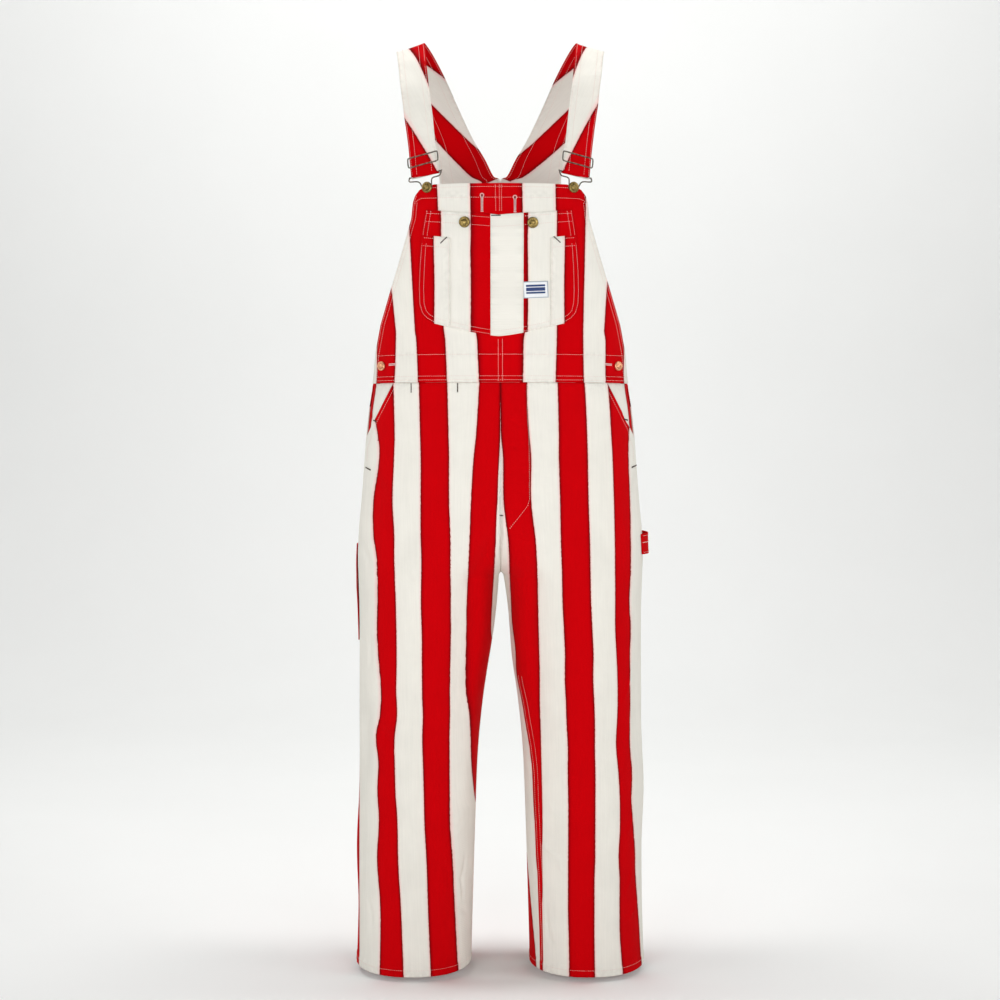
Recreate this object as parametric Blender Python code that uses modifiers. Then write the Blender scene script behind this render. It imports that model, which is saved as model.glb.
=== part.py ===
"""Striped bib dungarees, filled out as if worn on a general figure, with nobody in them.

Frame: metres, +Z up, the front faces -Y, the wearer's left is +X.
The origin lies between the shoulders, level with the underside of the straps where they rest.
"""

import math

import bmesh
import bpy
from mathutils import Vector

for leftover in list(bpy.data.objects):
    bpy.data.objects.remove(leftover)

# Cloth and seams.
SEAM_GAP = 0.0003
CLOTH = 0.0015
STRAP_CLOTH = 0.0012
PATCH_CLOTH = 0.0012
LABEL_CLOTH = 0.0006
LEVEL_1 = SEAM_GAP + PATCH_CLOTH
LEVEL_2 = LEVEL_1 + SEAM_GAP + PATCH_CLOTH
LABEL_LEVEL = LEVEL_1 + SEAM_GAP + LABEL_CLOTH

# Heights of the garment's main lines.
WAIST_Z = -0.513
FORK_Z = -0.8045
HEM_Z = -1.409
HEM_DROOP = 0.006
HEM_DROOP_FROM = -1.300

# The body of the garment: half its width, the gap from the centre plane to the inner leg, how far
# the legs have parted at the centre (0 one round body, 1 two legs), and its depth before and behind.
BODY_COLUMNS = ("z", "half_width", "inner", "parted", "front_depth", "back_depth")
BODY_ROWS = (
    (-0.190, 0.1840, 0.0000, 0.00, 0.1280, 0.1240),
    (-0.221, 0.1850, 0.0000, 0.00, 0.1290, 0.1250),
    (-0.270, 0.1870, 0.0000, 0.00, 0.1280, 0.1230),
    (-0.325, 0.1900, 0.0000, 0.00, 0.1250, 0.1200),
    (-0.375, 0.1940, 0.0000, 0.00, 0.1210, 0.1170),
    (-0.425, 0.1970, 0.0000, 0.00, 0.1180, 0.1140),
    (-0.470, 0.1980, 0.0000, 0.00, 0.1160, 0.1120),
    (-0.513, 0.1975, 0.0000, 0.00, 0.1150, 0.1130),
    (-0.552, 0.2030, 0.0000, 0.00, 0.1165, 0.1210),
    (-0.589, 0.2070, 0.0000, 0.01, 0.1180, 0.1290),
    (-0.640, 0.2110, 0.0000, 0.05, 0.1180, 0.1350),
    (-0.693, 0.2150, 0.0000, 0.15, 0.1170, 0.1360),
    (-0.735, 0.2190, 0.0000, 0.34, 0.1150, 0.1340),
    (-0.770, 0.2205, 0.0000, 0.62, 0.1120, 0.1300),
    (-0.790, 0.2205, 0.0000, 0.84, 0.1110, 0.1270),
    (-0.8045, 0.2200, 0.0000, 1.00, 0.1100, 0.1240),
    (-0.857, 0.2185, 0.0090, 1.00, 0.1060, 0.1130),
    (-0.923, 0.2185, 0.0160, 1.00, 0.1010, 0.1040),
    (-1.003, 0.2190, 0.0275, 1.00, 0.0940, 0.0950),
    (-1.081, 0.2190, 0.0350, 1.00, 0.0890, 0.0900),
    (-1.190, 0.2200, 0.0395, 1.00, 0.0860, 0.0880),
    (-1.305, 0.2210, 0.0430, 1.00, 0.0840, 0.0860),
    (-1.409, 0.2240, 0.0460, 1.00, 0.0830, 0.0850),
)
SQUARENESS = 2.2
TURN_STEP = 0.5
FALL_STEP = 0.001

# Half widths of the bib, of the back above the waist, and the slant of the hip pocket's mouth.
BIB_EDGE = (
    (-0.2210, 0.0980), (-0.2240, 0.1120), (-0.2280, 0.1200), (-0.2360, 0.1265), (-0.2460, 0.1300),
    (-0.2700, 0.1325), (-0.3250, 0.1494), (-0.3750, 0.1655), (-0.4250, 0.1815), (-0.4700, 0.1910),
    (-0.5127, 0.1948),
)
BACK_EDGE = (
    (-0.290, 0.1055), (-0.330, 0.1130), (-0.375, 0.1280), (-0.420, 0.1500), (-0.465, 0.1760),
    (-0.513, 0.1975),
)
MOUTH_TOP_X = 0.1610
MOUTH_BOTTOM_Z = -0.600
FACING_BOTTOM_Z = -0.640
FACING_UNDERLAP = 0.015
FACING_GAP = 0.0010
FACING_ROWS = 5
FACING_COLUMNS = 4

# Rows of cloth, top to bottom.
LEG_STATIONS = (
    -0.513, -0.552, -0.580, -0.600, -0.640, -0.675, -0.710, -0.740, -0.765, -0.780, -0.792, -0.799,
    -0.8045, -0.825, -0.857, -0.900, -0.950, -1.003, -1.060, -1.120, -1.180, -1.240, -1.300, -1.355,
    -1.409,
)
BACK_STATIONS = (-0.290, -0.330, -0.375, -0.420, -0.465)
BIB_STATIONS = (
    -0.221, -0.224, -0.228, -0.236, -0.246, -0.270, -0.300, -0.335, -0.375, -0.425, -0.470, -0.513,
)
PANEL_COLUMNS = 10
BIB_COLUMNS = 12

# Soft folds: the side (1 is the wearer's left), the angle round the leg and its spread in degrees,
# the heights that the fold runs between, and how far it stands out (or in, if negative).
FOLD_COLUMNS = ("side", "angle", "spread", "top", "bottom", "rise")
FOLD_ROWS = (
    (1, -38, 26, -0.66, -1.18, -0.006),
    (1, 62, 20, -0.90, -1.12, -0.005),
    (1, 80, 18, -1.02, -1.24, 0.004),
    (1, 118, 24, -0.86, -1.20, -0.005),
    (1, 215, 24, -0.90, -1.22, -0.006),
    (-1, -36, 26, -0.64, -1.20, -0.006),
    (-1, 60, 20, -0.96, -1.16, -0.005),
    (-1, 78, 18, -1.12, -1.34, 0.004),
    (-1, 122, 24, -0.90, -1.24, -0.005),
    (-1, 213, 24, -0.86, -1.18, -0.006),
    (1, 20, 16, -1.22, -1.42, 0.003),
    (-1, 24, 16, -1.20, -1.42, 0.003),
)

# Each strap with the half of the back yoke it is cut with: its neck edge, its armhole edge, and how
# it rounds between them (2 stays flat at the centre of the back, 1 is straight across).
STRAP_COLUMNS = ("neck_x", "neck_y", "neck_z", "arm_x", "arm_y", "arm_z", "rounding")
STRAP_ROWS = (
    (0.0000, 0.1218, -0.2897, 0.1055, 0.1049, -0.2897, 2.2),
    (0.0000, 0.1236, -0.2550, 0.1010, 0.1078, -0.2550, 2.2),
    (0.0000, 0.1250, -0.2220, 0.0985, 0.1092, -0.2220, 2.2),
    (0.0000, 0.1240, -0.1935, 0.0970, 0.1085, -0.1935, 2.1),
    (0.0110, 0.1215, -0.1760, 0.0975, 0.1065, -0.1760, 2.0),
    (0.0246, 0.1180, -0.1500, 0.0995, 0.1030, -0.1500, 1.8),
    (0.0430, 0.1100, -0.1200, 0.1060, 0.0960, -0.1190, 1.5),
    (0.0635, 0.0940, -0.0796, 0.1225, 0.0820, -0.0806, 1.2),
    (0.0863, 0.0620, -0.0326, 0.1410, 0.0550, -0.0386, 1.0),
    (0.1045, 0.0320, -0.0020, 0.1530, 0.0300, -0.0130, 1.0),
    (0.1160, 0.0000, 0.0095, 0.1590, 0.0000, -0.0040, 1.0),
    (0.1144, -0.0240, -0.0040, 0.1572, -0.0200, -0.0150, 1.0),
    (0.1121, -0.0500, -0.0260, 0.1542, -0.0430, -0.0350, 1.0),
    (0.1088, -0.0710, -0.0550, 0.1504, -0.0620, -0.0640, 1.0),
    (0.1043, -0.0870, -0.0890, 0.1460, -0.0760, -0.0975, 1.0),
    (0.1000, -0.0990, -0.1250, 0.1407, -0.0870, -0.1335, 1.0),
    (0.0965, -0.1080, -0.1580, 0.1363, -0.0940, -0.1665, 1.0),
    (0.0942, -0.1130, -0.1790, 0.1342, -0.0980, -0.1875, 1.0),
    (0.0920, -0.1180, -0.2013, 0.1322, -0.1005, -0.2087, 1.0),
)
STRAP_ACROSS = 5
STRAP_FOLD_RADIUS = 0.0026
STRAP_FOLD_STEPS = 4
STRAP_TAIL = 0.024
STRAP_STEP = 0.02

# The bib pocket: half its width down its side, and the curves of its top and bottom edges.
POCKET_CENTRE_X = -0.0020
POCKET_WIDTHS = (
    (0.00, 0.1080), (0.18, 0.1130), (0.35, 0.1165), (0.52, 0.1185), (0.70, 0.1195), (0.83, 0.1188),
    (0.91, 0.1150), (0.96, 0.1080), (1.00, 0.0965),
)
POCKET_TOP_Z = -0.2583
POCKET_TOP_SAG = 0.0090
POCKET_CORNER_Z = -0.4253
POCKET_POINT_Z = -0.4449
POCKET_POINT_POWER = 1.35
POCKET_COLUMNS = 20
STRIP_COLUMNS = 8
PENCIL_STRIP_ROWS = 7
PENCIL_STRIP_X = (-0.0144, 0.0340)
SIDE_STRIP_INNER_X = 0.0740
SIDE_STRIP_OUTER = 0.995
SIDE_STRIP_TOP = 0.22
LABEL_X = (0.0345, 0.0715)
LABEL_Z = (-0.3641, -0.3885)
LABEL_ROWS = 2
LABEL_COLUMNS = 3

# The rule pocket on the wearer's right leg and the hammer loop on the left one.
TOOL_POCKET_ANGLES = (96, 146)
TOOL_POCKET_Z = (-0.760, -0.910)
TOOL_POCKET_COLUMNS = 12
LOOP_ANGLES = (79, 142)
LOOP_Z = (-0.7434, -0.7747)
LOOP_REACH = 0.013
LOOP_ROWS = 2
LOOP_COLUMNS = 12
LOOP_FULLNESS = 0.8

# Buttons: where each sits and its cap's radius. Wire for the buckles.
BIB_BUTTON = (0.1072, -0.2251)
BUTTON_RADIUS = 0.0082
SIDE_BUTTON_RADIUS = 0.0070
SIDE_BUTTON = (0.1793, -0.4870)
POCKET_BUTTONS = (("right", -0.0521, -0.2778), ("left", 0.0470, -0.2783))
BUTTON_STEPS = 16
SHANK_RADIUS = 0.0020
# From the cap's middle down to its rim and under it: shares of its radius, and heights.
CAP_PROFILE = ((0.0, 0.0058), (0.45, 0.0055), (0.82, 0.0047), (1.0, 0.0036), (0.93, 0.0029))
CAP_UNDERSIDE = 0.0027
WIRE_RADIUS = 0.0010
SLIDE_ROWS = (16.67, 17.32)
SLIDE_OVERHANG = 0.055
SLIDE_CORNER = 0.12
SLIDE_STEPS = 4
BAR_OVERHANG = 0.0038
# The hook's wire below its bar: along the bib from the button, up, both sides of the button's shank.
HOOK_COLUMNS = ("across", "up")
HOOK_ROWS = (
    (0.0295, 0.0098), (0.0150, 0.0088), (0.0092, 0.0020), (0.0062, -0.0030), (0.0000, -0.0046),
    (-0.0060, -0.0024), (-0.0066, 0.0046), (-0.0080, 0.0135), (-0.0195, 0.0168),
)


def interpolate(keys, values, key):
    """A smooth curve through the values, straight past its two ends."""
    last = len(keys) - 2
    i = 0
    forward = keys[-1] > keys[0]
    while i < last and ((key > keys[i + 1]) if forward else (key < keys[i + 1])):
        i += 1
    span = keys[i + 1] - keys[i]
    t = (key - keys[i]) / span
    slope = (values[i + 1] - values[i]) / span
    before = slope if i == 0 else (values[i + 1] - values[i - 1]) / (keys[i + 1] - keys[i - 1])
    after = slope if i == last else (values[i + 2] - values[i]) / (keys[i + 2] - keys[i])
    if t < 0:
        return values[i] + before * (key - keys[i])
    if t > 1:
        return values[i + 1] + after * (key - keys[i + 1])
    ease = t * t * (3 - 2 * t)
    start = span * before * t * (1 - t) ** 2
    end = span * after * t * t * (t - 1)
    return values[i] + (values[i + 1] - values[i]) * ease + start + end


def column(columns, rows, name, key):
    """A named column of a table at a key of its first column."""
    index = columns.index(name)
    return interpolate([row[0] for row in rows], [row[index] for row in rows], key)


def straight(pairs, key):
    """Straight lines between pairs, level past the ends."""
    for (k0, v0), (k1, v1) in zip(pairs, pairs[1:]):
        if min(k0, k1) <= key <= max(k0, k1):
            return v0 + (v1 - v0) * (key - k0) / (k1 - k0)
    return pairs[0][1] if abs(key - pairs[0][0]) < abs(key - pairs[-1][0]) else pairs[-1][1]


def signed_power(value, power):
    return math.copysign(abs(value) ** power, value)


def section(z):
    """The leg's or body's half section at a height: its centre, half width and two depths."""
    width = column(BODY_COLUMNS, BODY_ROWS, "half_width", z)
    inner = max(0.0, column(BODY_COLUMNS, BODY_ROWS, "inner", z)) if z < FORK_Z else 0.0
    parted = min(1.0, max(0.0, column(BODY_COLUMNS, BODY_ROWS, "parted", z))) if z > FORK_Z else 1.0
    half = (width - inner) / (1 + parted)
    front = column(BODY_COLUMNS, BODY_ROWS, "front_depth", z)
    back = column(BODY_COLUMNS, BODY_ROWS, "back_depth", z)
    return width - half, half, parted, front, back


def centre_angle(z):
    """The angle, in degrees, at which the half section meets the centre plane."""
    parted = section(z)[2]
    return -math.degrees(math.asin(parted ** (SQUARENESS / 2)))


def angle_at(x, z):
    """The angle, in degrees from the front, at which the section has this x."""
    centre, half = section(z)[:2]
    share = max(-1.0, min(1.0, (x - centre) / half))
    return math.degrees(math.asin(signed_power(share, SQUARENESS / 2)))


def bump(distance, reach):
    """1 at the middle of a fold, falling softly to 0 at its reach."""
    return math.cos(min(1.0, abs(distance) / reach) * math.pi / 2) ** 2


def fold_rise(side, angle, z):
    rise = 0.0
    for row in FOLD_ROWS:
        fold = dict(zip(FOLD_COLUMNS, row))
        if fold["side"] == side:
            middle = (fold["top"] + fold["bottom"]) / 2
            reach = (fold["top"] - fold["bottom"]) / 2
            rise += fold["rise"] * bump(angle - fold["angle"], fold["spread"]) * bump(z - middle, reach)
    return rise


def body_point(side, angle, z):
    """A point of the outer surface. The angle runs from the front, past the side, to the back."""
    centre, half, _, front, back = section(z)
    sine = math.sin(math.radians(angle))
    cosine = math.cos(math.radians(angle))
    depth = front if cosine >= 0 else back
    across = half * signed_power(sine, 2 / SQUARENESS)
    along = -depth * signed_power(cosine, 2 / SQUARENESS)
    spread = 1 + fold_rise(side, angle, z) / math.hypot(across, along)
    droop = HEM_DROOP * max(0.0, cosine) * max(0.0, HEM_DROOP_FROM - z) / (HEM_DROOP_FROM - HEM_Z)
    return Vector(((centre + across * spread + SEAM_GAP / 2) * side, along * spread, z - droop))


def body(side, angle, z, half=0, lift=0.0):
    """A point lifted off the outer surface, with its normal. half: -1 before the side seam, 1 behind."""
    along = body_point(side, angle + TURN_STEP, z) - body_point(side, angle - TURN_STEP, z)
    down = body_point(side, angle, z - FALL_STEP) - body_point(side, angle, z + FALL_STEP)
    normal = down.cross(along).normalized() * side
    return body_point(side, angle, z) + normal * lift + Vector((0, half * SEAM_GAP / 2, 0)), normal


def bib(x, z, lift=0.0):
    """A point lifted off the bib at a signed x, with its normal."""
    side = 1 if x >= 0 else -1
    return body(side, angle_at(abs(x), z), z, 0, lift)


def spaced(start, end, steps):
    return [start + (end - start) * i / steps for i in range(steps + 1)]


def material(name, colour, roughness, metallic=0.0):
    made = bpy.data.materials.new(name)
    made.use_nodes = True
    shader = made.node_tree.nodes["Principled BSDF"]
    shader.inputs["Base Color"].default_value = (*colour, 1)
    shader.inputs["Roughness"].default_value = roughness
    shader.inputs["Metallic"].default_value = metallic
    return made


def add_object(name, data, finish):
    """Puts a named object into the dungarees' collection, under the shoulders."""
    piece = bpy.data.objects.new(name, data)
    colour, roughness, metallic = finish
    data.materials.append(material(name, colour, roughness, metallic))
    dungarees.objects.link(piece)
    piece.parent = shoulders
    return piece


RED_CLOTH = ((0.60, 0.010, 0.014), 0.88, 0.0)
WHITE_CLOTH = ((0.80, 0.78, 0.72), 0.88, 0.0)
BRASS = ((0.34, 0.25, 0.12), 0.42, 1.0)
COPPER = ((0.62, 0.33, 0.16), 0.38, 1.0)
AGED_STEEL = ((0.24, 0.22, 0.19), 0.40, 1.0)


def wall(name, rows, thickness, finish):
    """A closed wall of cloth: the outer sheet through rows of (point, normal), the inner one behind it."""
    bm = bmesh.new()
    outer = [[bm.verts.new(point) for point, _ in row] for row in rows]
    inner = [[bm.verts.new(point - normal * thickness) for point, normal in row] for row in rows]
    count = len(rows)
    width = len(rows[0])
    for i in range(count - 1):
        for j in range(width - 1):
            corners = ((i, j), (i + 1, j), (i + 1, j + 1), (i, j + 1))
            bm.faces.new([outer[a][b] for a, b in corners])
            bm.faces.new([inner[a][b] for a, b in reversed(corners)])
    rim = [(0, j) for j in range(width)]
    rim += [(i, width - 1) for i in range(1, count)]
    rim += [(count - 1, j) for j in range(width - 2, -1, -1)]
    rim += [(i, 0) for i in range(count - 2, 0, -1)]
    for (a, b), (c, d) in zip(rim, rim[1:] + rim[:1]):
        bm.faces.new((outer[a][b], outer[c][d], inner[c][d], inner[a][b]))
    bmesh.ops.recalc_face_normals(bm, faces=bm.faces)
    mesh = bpy.data.meshes.new(name)
    bm.to_mesh(mesh)
    bm.free()
    mesh.shade_smooth()
    mesh.set_sharp_from_angle(angle=math.radians(50))
    return add_object(name, mesh, finish)


def leg_stations(top, bottom):
    inside = [z for z in LEG_STATIONS if bottom < z < top]
    return [top, *inside, bottom]


def add_leg_front(side, name):
    """The front of one leg, from the waist seam to the hem, its top corner cut away for the hip pocket."""
    rows = []
    for z in leg_stations(WAIST_Z - SEAM_GAP / 2, HEM_Z):
        end = angle_at(mouth_x(z), z) if z > MOUTH_BOTTOM_Z else 90.0
        angles = spaced(centre_angle(z), end, PANEL_COLUMNS)
        rows.append([body(side, angle, z, -1) for angle in angles])
    wall(f"leg_front_{name}", rows, CLOTH, RED_CLOTH)


def mouth_x(z):
    width = section(MOUTH_BOTTOM_Z)
    bottom_x = width[0] + width[1]
    share = (WAIST_Z - z) / (WAIST_Z - MOUTH_BOTTOM_Z)
    return MOUTH_TOP_X + (bottom_x - MOUTH_TOP_X) * share


def add_back(side, name):
    """The back of one leg and of the body above it, in one piece up to the yoke."""
    rows = []
    for z in [*BACK_STATIONS, *leg_stations(WAIST_Z, HEM_Z)]:
        end = 180 - angle_at(straight(BACK_EDGE, z), z) if z > WAIST_Z else 90.0
        angles = spaced(end, 180 - centre_angle(z), PANEL_COLUMNS)
        rows.append([body(side, angle, z, 1) for angle in angles])
    wall(f"back_{name}", rows, CLOTH, WHITE_CLOTH)


def add_bib_half(side, name):
    rows = []
    for z in BIB_STATIONS:
        z = max(z, WAIST_Z + SEAM_GAP / 2)
        end = angle_at(straight(BIB_EDGE, z), z)
        rows.append([body(side, angle, z) for angle in spaced(0, end, BIB_COLUMNS)])
    wall(f"bib_{name}", rows, CLOTH, RED_CLOTH)


def add_hip_facing(side, name):
    """The pocket bearer seen behind the slanted mouth, one layer inside the leg's front."""
    lift = -CLOTH - FACING_GAP
    top = WAIST_Z - SEAM_GAP / 2
    rows = []
    for z in spaced(top, FACING_BOTTOM_Z, FACING_ROWS):
        start = angle_at(mouth_x(max(z, MOUTH_BOTTOM_Z)) - FACING_UNDERLAP, z)
        rows.append([body(side, angle, z, -1, lift) for angle in spaced(start, 90, FACING_COLUMNS)])
    wall(f"hip_facing_{name}", rows, PATCH_CLOTH, WHITE_CLOTH)


def strap_frames():
    """The strap's rows, with the end that folds up behind the hook's bar."""
    rows = [list(row) for row in STRAP_ROWS]
    neck, arm = Vector(rows[-1][0:3]), Vector(rows[-1][3:6])
    down = (neck - Vector(rows[-2][0:3]) + arm - Vector(rows[-2][3:6])).normalized()
    back = (arm - neck).cross(down).normalized()
    for i in range(1, STRAP_FOLD_STEPS + 1):
        turn = math.pi * i / STRAP_FOLD_STEPS
        step = (down * math.sin(turn) + back * (1 - math.cos(turn))) * STRAP_FOLD_RADIUS
        rows.append([*(neck + step), *(arm + step), 1.0])
    step += -down * STRAP_TAIL
    rows.append([*(neck + step), *(arm + step), 1.0])
    return rows, back


def strap_point(rows, across, row):
    """A point between the strap's neck edge (across 0) and its armhole edge (across 1)."""
    keys = list(range(len(rows)))
    value = {name: interpolate(keys, [r[i] for r in rows], row) for i, name in enumerate(STRAP_COLUMNS)}
    neck_x = max(0.0, value["neck_x"])
    return Vector((
        neck_x + (value["arm_x"] - neck_x) * across + SEAM_GAP / 2,
        value["neck_y"] + (value["arm_y"] - value["neck_y"]) * signed_power(across, value["rounding"]),
        value["neck_z"] + (value["arm_z"] - value["neck_z"]) * across,
    ))


def strap(side, rows, across, row, lift=0.0):
    """A point lifted off the strap, with its normal."""
    width = strap_point(rows, across + STRAP_STEP, row) - strap_point(rows, across - STRAP_STEP, row)
    length = strap_point(rows, across, row + STRAP_STEP) - strap_point(rows, across, row - STRAP_STEP)
    normal = length.cross(width).normalized()
    point = strap_point(rows, across, row) + normal * lift
    return Vector((point.x * side, point.y, point.z)), Vector((normal.x * side, normal.y, normal.z))


def add_strap(side, name):
    frames = strap_frames()[0]
    bar = len(STRAP_ROWS) - 1
    stations = [i / 2 for i in range(2 * bar)] + list(range(bar, len(frames)))
    rows = [[strap(side, frames, across, row) for across in spaced(0, 1, STRAP_ACROSS)] for row in stations]
    wall(f"strap_{name}", rows, STRAP_CLOTH, WHITE_CLOTH)


def pocket_spot(across, down):
    """The x and z of a place on the bib pocket: across from -1 to 1, down from 0 to 1."""
    x = POCKET_CENTRE_X + across * straight(POCKET_WIDTHS, down)
    top = POCKET_TOP_Z - POCKET_TOP_SAG * (1 - abs(across))
    bottom = POCKET_POINT_Z + (POCKET_CORNER_Z - POCKET_POINT_Z) * abs(across) ** POCKET_POINT_POWER
    return x, top + (bottom - top) * down


def pocket_patch(name, spots, lift, finish):
    rows = [[bib(*spot, lift) for spot in row] for row in spots]
    wall(name, rows, PATCH_CLOTH, finish)


def pocket_share(x, down):
    return (x - POCKET_CENTRE_X) / straight(POCKET_WIDTHS, down)


def add_bib_pocket():
    """The patch pocket, with the pencil strip at its middle and a slotted strip at each side."""
    downs = [down for down, _ in POCKET_WIDTHS]
    whole = [[pocket_spot(across, down) for across in spaced(-1, 1, POCKET_COLUMNS)] for down in downs]
    pocket_patch("bib_pocket", whole, LEVEL_1, RED_CLOTH)

    def strip(name, left, right, rows):
        spots = []
        for down in rows:
            start, end = left(down), right(down)
            spots.append([pocket_spot(across, down) for across in spaced(start, end, STRIP_COLUMNS)])
        pocket_patch(name, spots, LEVEL_2, WHITE_CLOTH)

    def inner(share_x):
        return lambda down: pocket_share(share_x, down)

    rows = spaced(0.0, 1.0, PENCIL_STRIP_ROWS)
    strip("pencil_strip", inner(PENCIL_STRIP_X[0]), inner(PENCIL_STRIP_X[1]), rows)
    rows = [SIDE_STRIP_TOP] + [down for down in downs if down > SIDE_STRIP_TOP]
    strip("side_strip_left", inner(SIDE_STRIP_INNER_X), lambda down: SIDE_STRIP_OUTER, rows)
    strip("side_strip_right", lambda down: -SIDE_STRIP_OUTER, inner(-SIDE_STRIP_INNER_X), rows)


def add_label():
    """A small plain woven label, sewn on beside the pencil strip."""
    across = spaced(*LABEL_X, LABEL_COLUMNS)
    rows = [[bib(x, z, LABEL_LEVEL) for x in across] for z in spaced(*LABEL_Z, LABEL_ROWS)]
    wall("label", rows, LABEL_CLOTH, WHITE_CLOTH)


def add_tool_pocket():
    rows = []
    angles = spaced(*TOOL_POCKET_ANGLES, TOOL_POCKET_COLUMNS)
    for z in leg_stations(*TOOL_POCKET_Z):
        rows.append([body(-1, angle, z, 1, LEVEL_1) for angle in angles])
    wall("tool_pocket", rows, PATCH_CLOTH, RED_CLOTH)


def add_hammer_loop():
    """A short band sewn down at both ends, which stands off the leg between them."""
    first, last = LOOP_ANGLES
    rows = []
    for z in spaced(*LOOP_Z, LOOP_ROWS):
        row = []
        for angle in spaced(first, last, LOOP_COLUMNS):
            arch = math.sin(math.pi * (angle - first) / (last - first))
            row.append(body(1, angle, z, 0, LEVEL_1 + LOOP_REACH * max(0.0, arch) ** LOOP_FULLNESS))
        rows.append(row)
    wall("hammer_loop", rows, PATCH_CLOTH, RED_CLOTH)


def add_button(name, place, radius, finish):
    """A domed cap on a shank, turned about its axis and set 0.3 mm off the cloth."""
    point, normal = place
    profile = [(share * radius, height) for share, height in CAP_PROFILE]
    profile += [(SHANK_RADIUS, CAP_UNDERSIDE), (SHANK_RADIUS, 0.0), (0.0, 0.0)]
    mesh = bpy.data.meshes.new(name)
    mesh.from_pydata([(x, 0, z) for x, z in profile], [(i, i + 1) for i in range(len(profile) - 1)], [])
    button = add_object(name, mesh, finish)
    button.location = point + normal * SEAM_GAP
    button.rotation_mode = "QUATERNION"
    button.rotation_quaternion = Vector((0, 0, 1)).rotation_difference(normal)
    turned = button.modifiers.new("Turned", "SCREW")
    turned.steps = BUTTON_STEPS
    turned.render_steps = BUTTON_STEPS
    turned.use_merge_vertices = True
    turned.merge_threshold = 0.00001
    turned.use_smooth_shade = True


def add_wire(name, points, finish):
    """A closed loop of wire through the points."""
    curve = bpy.data.curves.new(name, "CURVE")
    curve.dimensions = "3D"
    curve.bevel_depth = WIRE_RADIUS
    curve.bevel_resolution = 2
    spline = curve.splines.new("POLY")
    spline.points.add(len(points) - 1)
    for spline_point, point in zip(spline.points, points):
        spline_point.co = (*point, 1)
    spline.use_cyclic_u = True
    return add_object(name, curve, finish)


def add_buckle(side, name):
    """The wire slide on the strap, and the hook that runs from the strap's fold round the bib button."""
    frames, back = strap_frames()
    lift = WIRE_RADIUS + SEAM_GAP
    top, bottom = SLIDE_ROWS
    first, last = -SLIDE_OVERHANG, 1 + SLIDE_OVERHANG
    bar = spaced(first + SLIDE_CORNER / 2, last - SLIDE_CORNER / 2, SLIDE_STEPS)
    round_trip = [(across, top) for across in bar]
    round_trip += [(last, top + SLIDE_CORNER), (last, bottom - SLIDE_CORNER)]
    round_trip += [(across, bottom) for across in reversed(bar)]
    round_trip += [(first, bottom - SLIDE_CORNER), (first, top + SLIDE_CORNER)]
    slide = [strap(side, frames, across, row, lift)[0] for across, row in round_trip]
    add_wire(f"buckle_slide_{name}", slide, AGED_STEEL)

    place, normal = bib(side * BIB_BUTTON[0], BIB_BUTTON[1])
    outward = Vector((0, 0, 1)).cross(normal).normalized() * side
    upward = normal.cross(outward).normalized() * side
    last = STRAP_ROWS[-1]
    neck = Vector((last[0] * side, last[1], last[2]))
    arm = Vector((last[3] * side, last[4], last[5]))
    behind = Vector((back.x * side, back.y, back.z)) * STRAP_FOLD_RADIUS
    over = (arm - neck).normalized() * BAR_OVERHANG
    wire = [neck - over + behind, neck + behind, arm + behind, arm + over + behind]
    for row in HOOK_ROWS:
        spot = dict(zip(HOOK_COLUMNS, row))
        wire.append(place + normal * lift + outward * spot["across"] + upward * spot["up"])
    add_wire(f"buckle_hook_{name}", wire, AGED_STEEL)


dungarees = bpy.data.collections.new("dungarees")
bpy.context.scene.collection.children.link(dungarees)
shoulders = bpy.data.objects.new("shoulders", None)
dungarees.objects.link(shoulders)

for side, name in ((1, "left"), (-1, "right")):
    add_leg_front(side, name)
    add_back(side, name)
    add_bib_half(side, name)
    add_hip_facing(side, name)
    add_strap(side, name)
    add_buckle(side, name)
    bib_place = bib(side * BIB_BUTTON[0], BIB_BUTTON[1])
    side_place = bib(side * SIDE_BUTTON[0], SIDE_BUTTON[1])
    add_button(f"bib_button_{name}", bib_place, BUTTON_RADIUS, BRASS)
    add_button(f"side_button_{name}", side_place, SIDE_BUTTON_RADIUS, COPPER)
add_bib_pocket()
add_label()
add_tool_pocket()
add_hammer_loop()
for name, x, z in POCKET_BUTTONS:
    add_button(f"pocket_button_{name}", bib(x, z, LEVEL_1), BUTTON_RADIUS, BRASS)
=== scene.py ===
import math
from bisect import bisect_left
from functools import partial

import bmesh
import bpy
from mathutils import Matrix, Vector


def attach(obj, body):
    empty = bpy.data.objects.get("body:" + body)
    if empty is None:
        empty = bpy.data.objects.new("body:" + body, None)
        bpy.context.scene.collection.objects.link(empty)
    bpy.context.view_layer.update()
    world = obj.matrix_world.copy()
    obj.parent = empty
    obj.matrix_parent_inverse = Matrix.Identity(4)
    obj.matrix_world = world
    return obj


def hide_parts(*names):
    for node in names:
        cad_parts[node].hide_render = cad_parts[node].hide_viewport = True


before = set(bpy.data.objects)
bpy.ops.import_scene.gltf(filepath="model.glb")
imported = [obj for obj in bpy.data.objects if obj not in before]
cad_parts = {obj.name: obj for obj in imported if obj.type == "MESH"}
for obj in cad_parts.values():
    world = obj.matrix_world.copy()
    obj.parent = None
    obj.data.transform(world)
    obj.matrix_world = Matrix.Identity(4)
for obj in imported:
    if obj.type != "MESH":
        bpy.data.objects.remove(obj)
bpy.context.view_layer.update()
print("frame loaded")

# cloth thicknesses, and how far each layer of patch stands off the one below
seamGap = 0.0003
cloth = 0.0015
patchCloth = 0.0012
level1 = seamGap + patchCloth
level2 = level1 + seamGap + patchCloth
labelCloth = 0.0006
labelLevel = level1 + seamGap + labelCloth
stripeWidth = 0.046

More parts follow.
